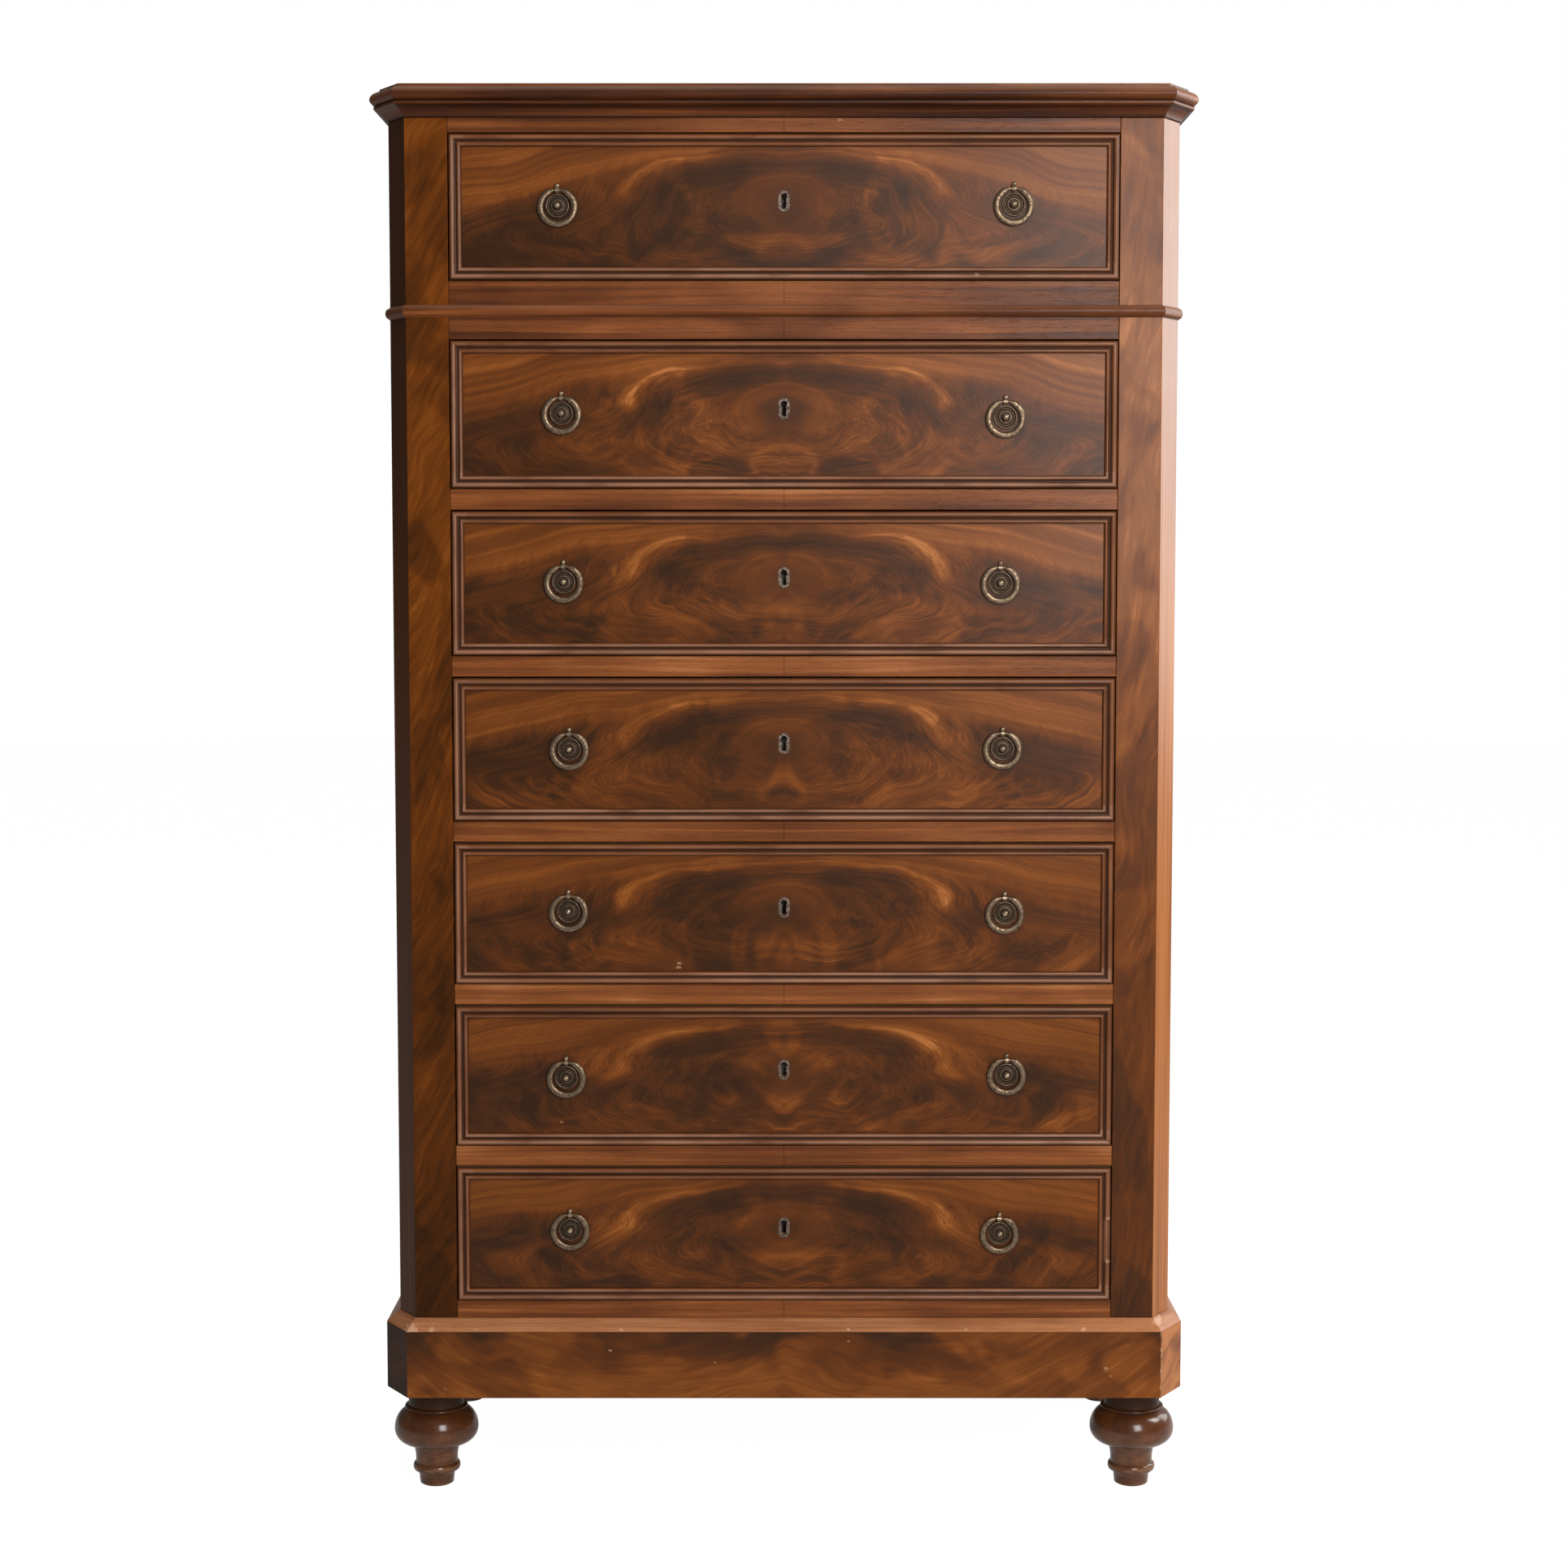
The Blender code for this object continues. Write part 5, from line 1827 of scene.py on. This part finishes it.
@dataclass
class RingPull(Assembly):
    """Ring pull: rosette with its knob, stud and eye, the nut behind, and the ring.

    Attributes:
        drawer: the drawer that it is on.
        side: left or right.
        ring_radius: to the middle of the ring's bar.
        bar_half: half the bar's width, seen from the front.
        bar_thick: half its thickness.
        neck: half the width and thickness of the ring where it passes through its eye.
        rosette_radius: radius of the rosette.
        lift: the rosette's middle above the ring's.
        eye_out: from the carcass's face to the middle of the eye.
        shapes: meshes that every pull copies, made by the first one.
    """

    drawer: int = 1
    side: str = "left"
    ring_radius: float = 0.0178
    bar_half: float = 0.0033
    bar_thick: float = 0.0018
    neck: float = 0.00125
    rosette_radius: float = 0.0124
    lift: float = 0.0013
    eye_out: float = 0.0030
    shapes: dict[str, bpy.types.Mesh] = field(default_factory=dict)

    def __post_init__(self) -> None:
        """Works out how far the eye's axis is above the ring's middle."""
        self.reach = self.ring_radius * math.cos(math.pi / 16)

    def rosette(self) -> bpy.types.Mesh:
        """Rosette about the origin, with the eye above it and the stud behind.

        Returns:
            A mesh that each pull copies.
        """
        edge = self.rosette_radius
        rim = [(edge - 0.0004, SEAT_GAP), (edge, 0.0006), (edge, 0.0014)]
        rim += arc((edge - 0.0009, 0.0015), (0.0009, 0.0010), 10, 170, 7)
        bead = [(0.0103, 0.0012), (0.0097, 0.0011)]
        bead += arc((0.0089, 0.0014), (0.0006, 0.0008), 10, 170, 5)
        dish = [(0.0081, 0.0012), (0.0072, 0.0014), (0.0066, 0.0021), (0.0055, 0.0022)]
        dish += [(0.0048, 0.0015), (0.0030, 0.0013)]
        knob = [(0.0021, 0.0018), (0.0019, 0.0034)]
        knob += arc((0.0, 0.0066), (0.0034, 0.0034), -56, 80, 12)
        plate = Blank.turned(rim + bead + dish + knob, 56, forward=True)
        stud = Blank.turned([(0.0019, -0.0240), (0.0019, 0.0014)], 16, forward=True)
        centre, foot = (-self.eye_out, self.reach - self.lift), edge - 0.0010
        lug = [(-SEAT_GAP, foot), (-0.0012, foot)] + arc(centre, (-0.0028, 0.0028), -64, 84, 12)
        eye = Blank.sideways(lug + [(-SEAT_GAP, centre[1] + 0.0028)], -0.0020, 0.0020)
        ball = Blank.turned(arc((0.0, 0.0), (0.0025, 0.0025), -72, 80, 12), 24)
        hole = Blank.sideways(arc(centre, (0.0018, 0.0018), 0, 345, 23), -0.005, 0.005)
        joined = [stud, eye, ball.moved(0, centre[0], centre[1] + 0.0046)]
        return plate.mesh(joined=joined, cut=[hole])

    def ring(self) -> bpy.types.Mesh:
        """Ring about the eye's axis, flat and broad below, round and thin in its eye.

        Returns:
            A mesh that each pull copies.
        """
        steps, sides, narrow, taper = 72, 16, 11, 24
        rings = []
        for step in range(steps):
            turn = 2 * math.pi * (step + 0.5) / steps
            away = abs((math.degrees(turn) + 180) % 360 - 180)
            swell = min(1.0, max(0.0, (away - narrow) / taper))
            swell = swell * swell * (3 - 2 * swell)
            wide = self.neck + (self.bar_half - self.neck) * swell
            thick = self.neck + (self.bar_thick - self.neck) * swell
            radius = self.ring_radius if away > narrow else self.reach / math.cos(turn)
            section = []
            for side in range(sides):
                angle = 2 * math.pi * side / sides
                across, out = math.cos(angle), thick * math.sin(angle)
                far = radius + wide * math.copysign(abs(across) ** 0.8, across)
                section.append((far * math.sin(turn), out, far * math.cos(turn) - self.reach))
            rings.append(section)
        return Blank(rings, endless=True).mesh()

    def shape(self, name: str, x: float, y: float, z: float) -> bpy.types.Mesh:
        """Copy of a shared mesh at a place.

        Args:
            name: rosette or ring.
            x: how far across it goes.
            y: how far back.
            z: how far up.

        Returns:
            The copy.
        """
        mesh = self.shapes[name].copy()
        mesh.transform(Matrix.Translation((x, y, z)))
        return mesh

    def build(self) -> None:
        """Makes the pull's pieces."""
        name = f"drawer_{self.drawer}_{self.side}"
        if not self.shapes:
            self.shapes.update(rosette=self.rosette(), ring=self.ring())
        low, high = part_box(f"{name}_rosette")
        face, x, z = LAYOUT.face, (low.x + high.x) / 2, low.z + self.rosette_radius
        self.body = f"drawer_{self.drawer}"
        plate, node = self.shape("rosette", x, face, z), f"{name}_rosette"
        finish = replace(ROSETTE_BRONZE, hollow=(face - 0.0013, face - 0.0042))
        self.piece(f"{name}_turned_rosette", plate, finish, smooth=32.0, node=node)
        profile = [(0.0050, 0.0), (0.0050, 0.0012), (0.0038, 0.0013), (0.0036, 0.0030)]
        nut = Blank.turned(profile, 6, forward=True).reversed().moved(x, face + 0.0201, z)
        bore = Blank.turned([(0.0020, -0.05), (0.0020, 0.01)], 16, forward=True)
        self.piece(f"{name}_stud_nut", nut.mesh(cut=[bore.moved(x, face, z)]), BRONZE)
        ring = self.shape("ring", x, face - self.eye_out, z + (self.reach - self.lift))
        self.body = self.node = f"{name}_ring"
        self.piece(f"{name}_swinging_ring", ring, BRONZE, smooth=50.0)


# Studio

WHITE: Shade = (1.0, 1.0, 1.0)
FLOOR: Shade = (0.55, 0.55, 0.55)


@dataclass(frozen=True)
class Lamp:
    """Soft rectangular lamp.

    Attributes:
        name: its name.
        place: where it hangs.
        aim: what it faces.
        size: its width and height.
        power: its power in watts.
        colour: its colour.
        mirrored: whether polished surfaces show it.
    """

    name: str
    place: Point
    aim: Point
    size: Pair
    power: float
    colour: Shade = WHITE
    mirrored: bool = True

    def build(self) -> None:
        """Hangs the lamp."""
        light = bpy.data.lights.new(self.name, "AREA")
        light.shape = "RECTANGLE"
        light.size, light.size_y = self.size
        light.energy, light.color = self.power, self.colour
        item = placed(self.name, light)
        item.visible_glossy = self.mirrored
        item.location = self.place
        towards = Vector(self.aim) - Vector(self.place)
        item.rotation_euler = towards.to_track_quat("-Z", "Y").to_euler()


DAY: Shade = (1.0, 0.99, 0.98)
LAMPS = (
    Lamp("key", (1.0, -3.1, 1.7), (0.05, -0.2, 0.8), (1.0, 1.7), 96.0, DAY),
    Lamp("right", (2.3, -0.15, 2.1), (0.4, 0.0, 1.1), (1.0, 1.2), 66.0, (1.0, 0.97, 0.93)),
    Lamp("window", (2.4, 1.15, 1.5), (0.4, -0.1, 1.1), (1.2, 1.7), 37.0, (1.0, 0.985, 0.95)),
    Lamp("left", (-2.2, -3.0, 1.3), (0.0, 0.0, 0.7), (1.8, 1.8), 16.0, DAY, False),
    Lamp("over", (0.0, -1.4, 3.2), (0.0, -0.1, 0.9), (2.0, 1.6), 28.0, mirrored=False),
)


@dataclass
class Studio:
    """Pale floor, soft lamps, world and camera.

    Attributes:
        lens: the camera's lens in millimetres, on a 36 mm frame.
        stand: where the camera stands.
        pitch: its tilt from straight down, in degrees.
        floor_radius: radius of the floor.
        floor_glow: strength of the white that the camera sees on the floor.
        dim: strength of the world's light.
    """

    lens: float = 64.716
    stand: Point = (0.0, -3.176, 0.994)
    pitch: float = 85.69
    floor_radius: float = 14.0
    floor_glow: float = 1.215
    dim: float = 0.20

    def build(self) -> None:
        """Makes the floor, the lamps, the world and the camera."""
        self.build_floor()
        for lamp in LAMPS:
            lamp.build()
        self.build_world()
        camera = placed("camera", bpy.data.cameras.new("camera"))
        camera.data.lens, camera.data.sensor_width = self.lens, 36.0
        camera.location = self.stand
        camera.rotation_euler = (math.radians(self.pitch), 0.0, 0.0)
        bpy.context.scene.camera = camera
        bpy.context.scene.view_settings.view_transform = "Standard"

    def build_floor(self) -> None:
        """Makes a wide round floor that shows white to the camera and keeps a faint shadow."""
        steps, radii = 64, (self.floor_radius, self.floor_radius)
        points = arc((0.0, 0.0), radii, 0, 360 - 360 / steps, steps - 1)
        mesh = bpy.data.meshes.new("floor")
        mesh.from_pydata([(x, y, 0.0) for x, y in points], [], [range(steps)])
        mesh.materials.append(bpy.data.materials.new("floor"))
        recipe = Recipe(mesh.materials[0])
        matt = recipe.node("ShaderNodeBsdfDiffuse", inputs={"Color": FLOOR})
        glow = {"Color": WHITE, "Strength": self.floor_glow}
        glow = recipe.node("ShaderNodeEmission", inputs=glow)
        inputs = {0: self.seen(recipe) * 0.80, 1: matt, 2: glow}
        mixed = recipe.node("ShaderNodeMixShader", inputs=inputs)
        recipe.node("ShaderNodeOutputMaterial", inputs={"Surface": mixed})
        placed("floor", mesh)

    @staticmethod
    def seen(recipe: Recipe) -> Term:
        """Mask of the rays by which a background is seen.

        Args:
            recipe: where its nodes go.

        Returns:
            The mask, 0 for light that falls on things.
        """
        camera, glossy, through = (
            recipe.node("ShaderNodeLightPath", outlet=f"Is {word} Ray")
            for word in ("Camera", "Glossy", "Transmission")
        )
        return camera.most(glossy * 0.35).most(through)

    def build_world(self) -> None:
        """Gives the world a low grey light and a white look."""
        world = bpy.data.worlds.new("studio")
        bpy.context.scene.world = world
        recipe = Recipe(world)
        camera = recipe.node("ShaderNodeLightPath", outlet="Is Camera Ray")
        right, back, _ = recipe.split(recipe.node("ShaderNodeTexCoord", outlet="Generated"))
        sweep = back.between(-0.15, 0.45) * right.between(-0.5, 0.4) * 0.95 + 0.05
        dim, white = (
            recipe.node("ShaderNodeBackground", inputs={"Color": WHITE, "Strength": strength})
            for strength in (self.dim, sweep.most(camera))
        )
        inputs = {0: self.seen(recipe), 1: dim, 2: white}
        mixed = recipe.node("ShaderNodeMixShader", inputs=inputs)
        recipe.node("ShaderNodeOutputWorld", inputs={"Surface": mixed})


def main() -> None:
    """Builds the chest and its studio."""
    logging.basicConfig(level=logging.INFO, format="%(message)s")
    shapes: dict[str, bpy.types.Mesh] = {}
    assemblies: list[Assembly] = [Top(), Waist(), Case(), Plinth()]
    assemblies += [RunnerFrame(number=number) for number in DRAWERS]
    assemblies += [Foot(name=name) for name in CORNERS]
    assemblies += [Drawer(number=number) for number in DRAWERS]
    for number in DRAWERS:
        assemblies += [RingPull(drawer=number, side=side, shapes=shapes) for side, _ in HANDS]
    for assembly in assemblies:
        assembly.build()
    for mesh in shapes.values():
        bpy.data.meshes.remove(mesh)
    Studio().build()


if __name__ == "__main__":
    main()
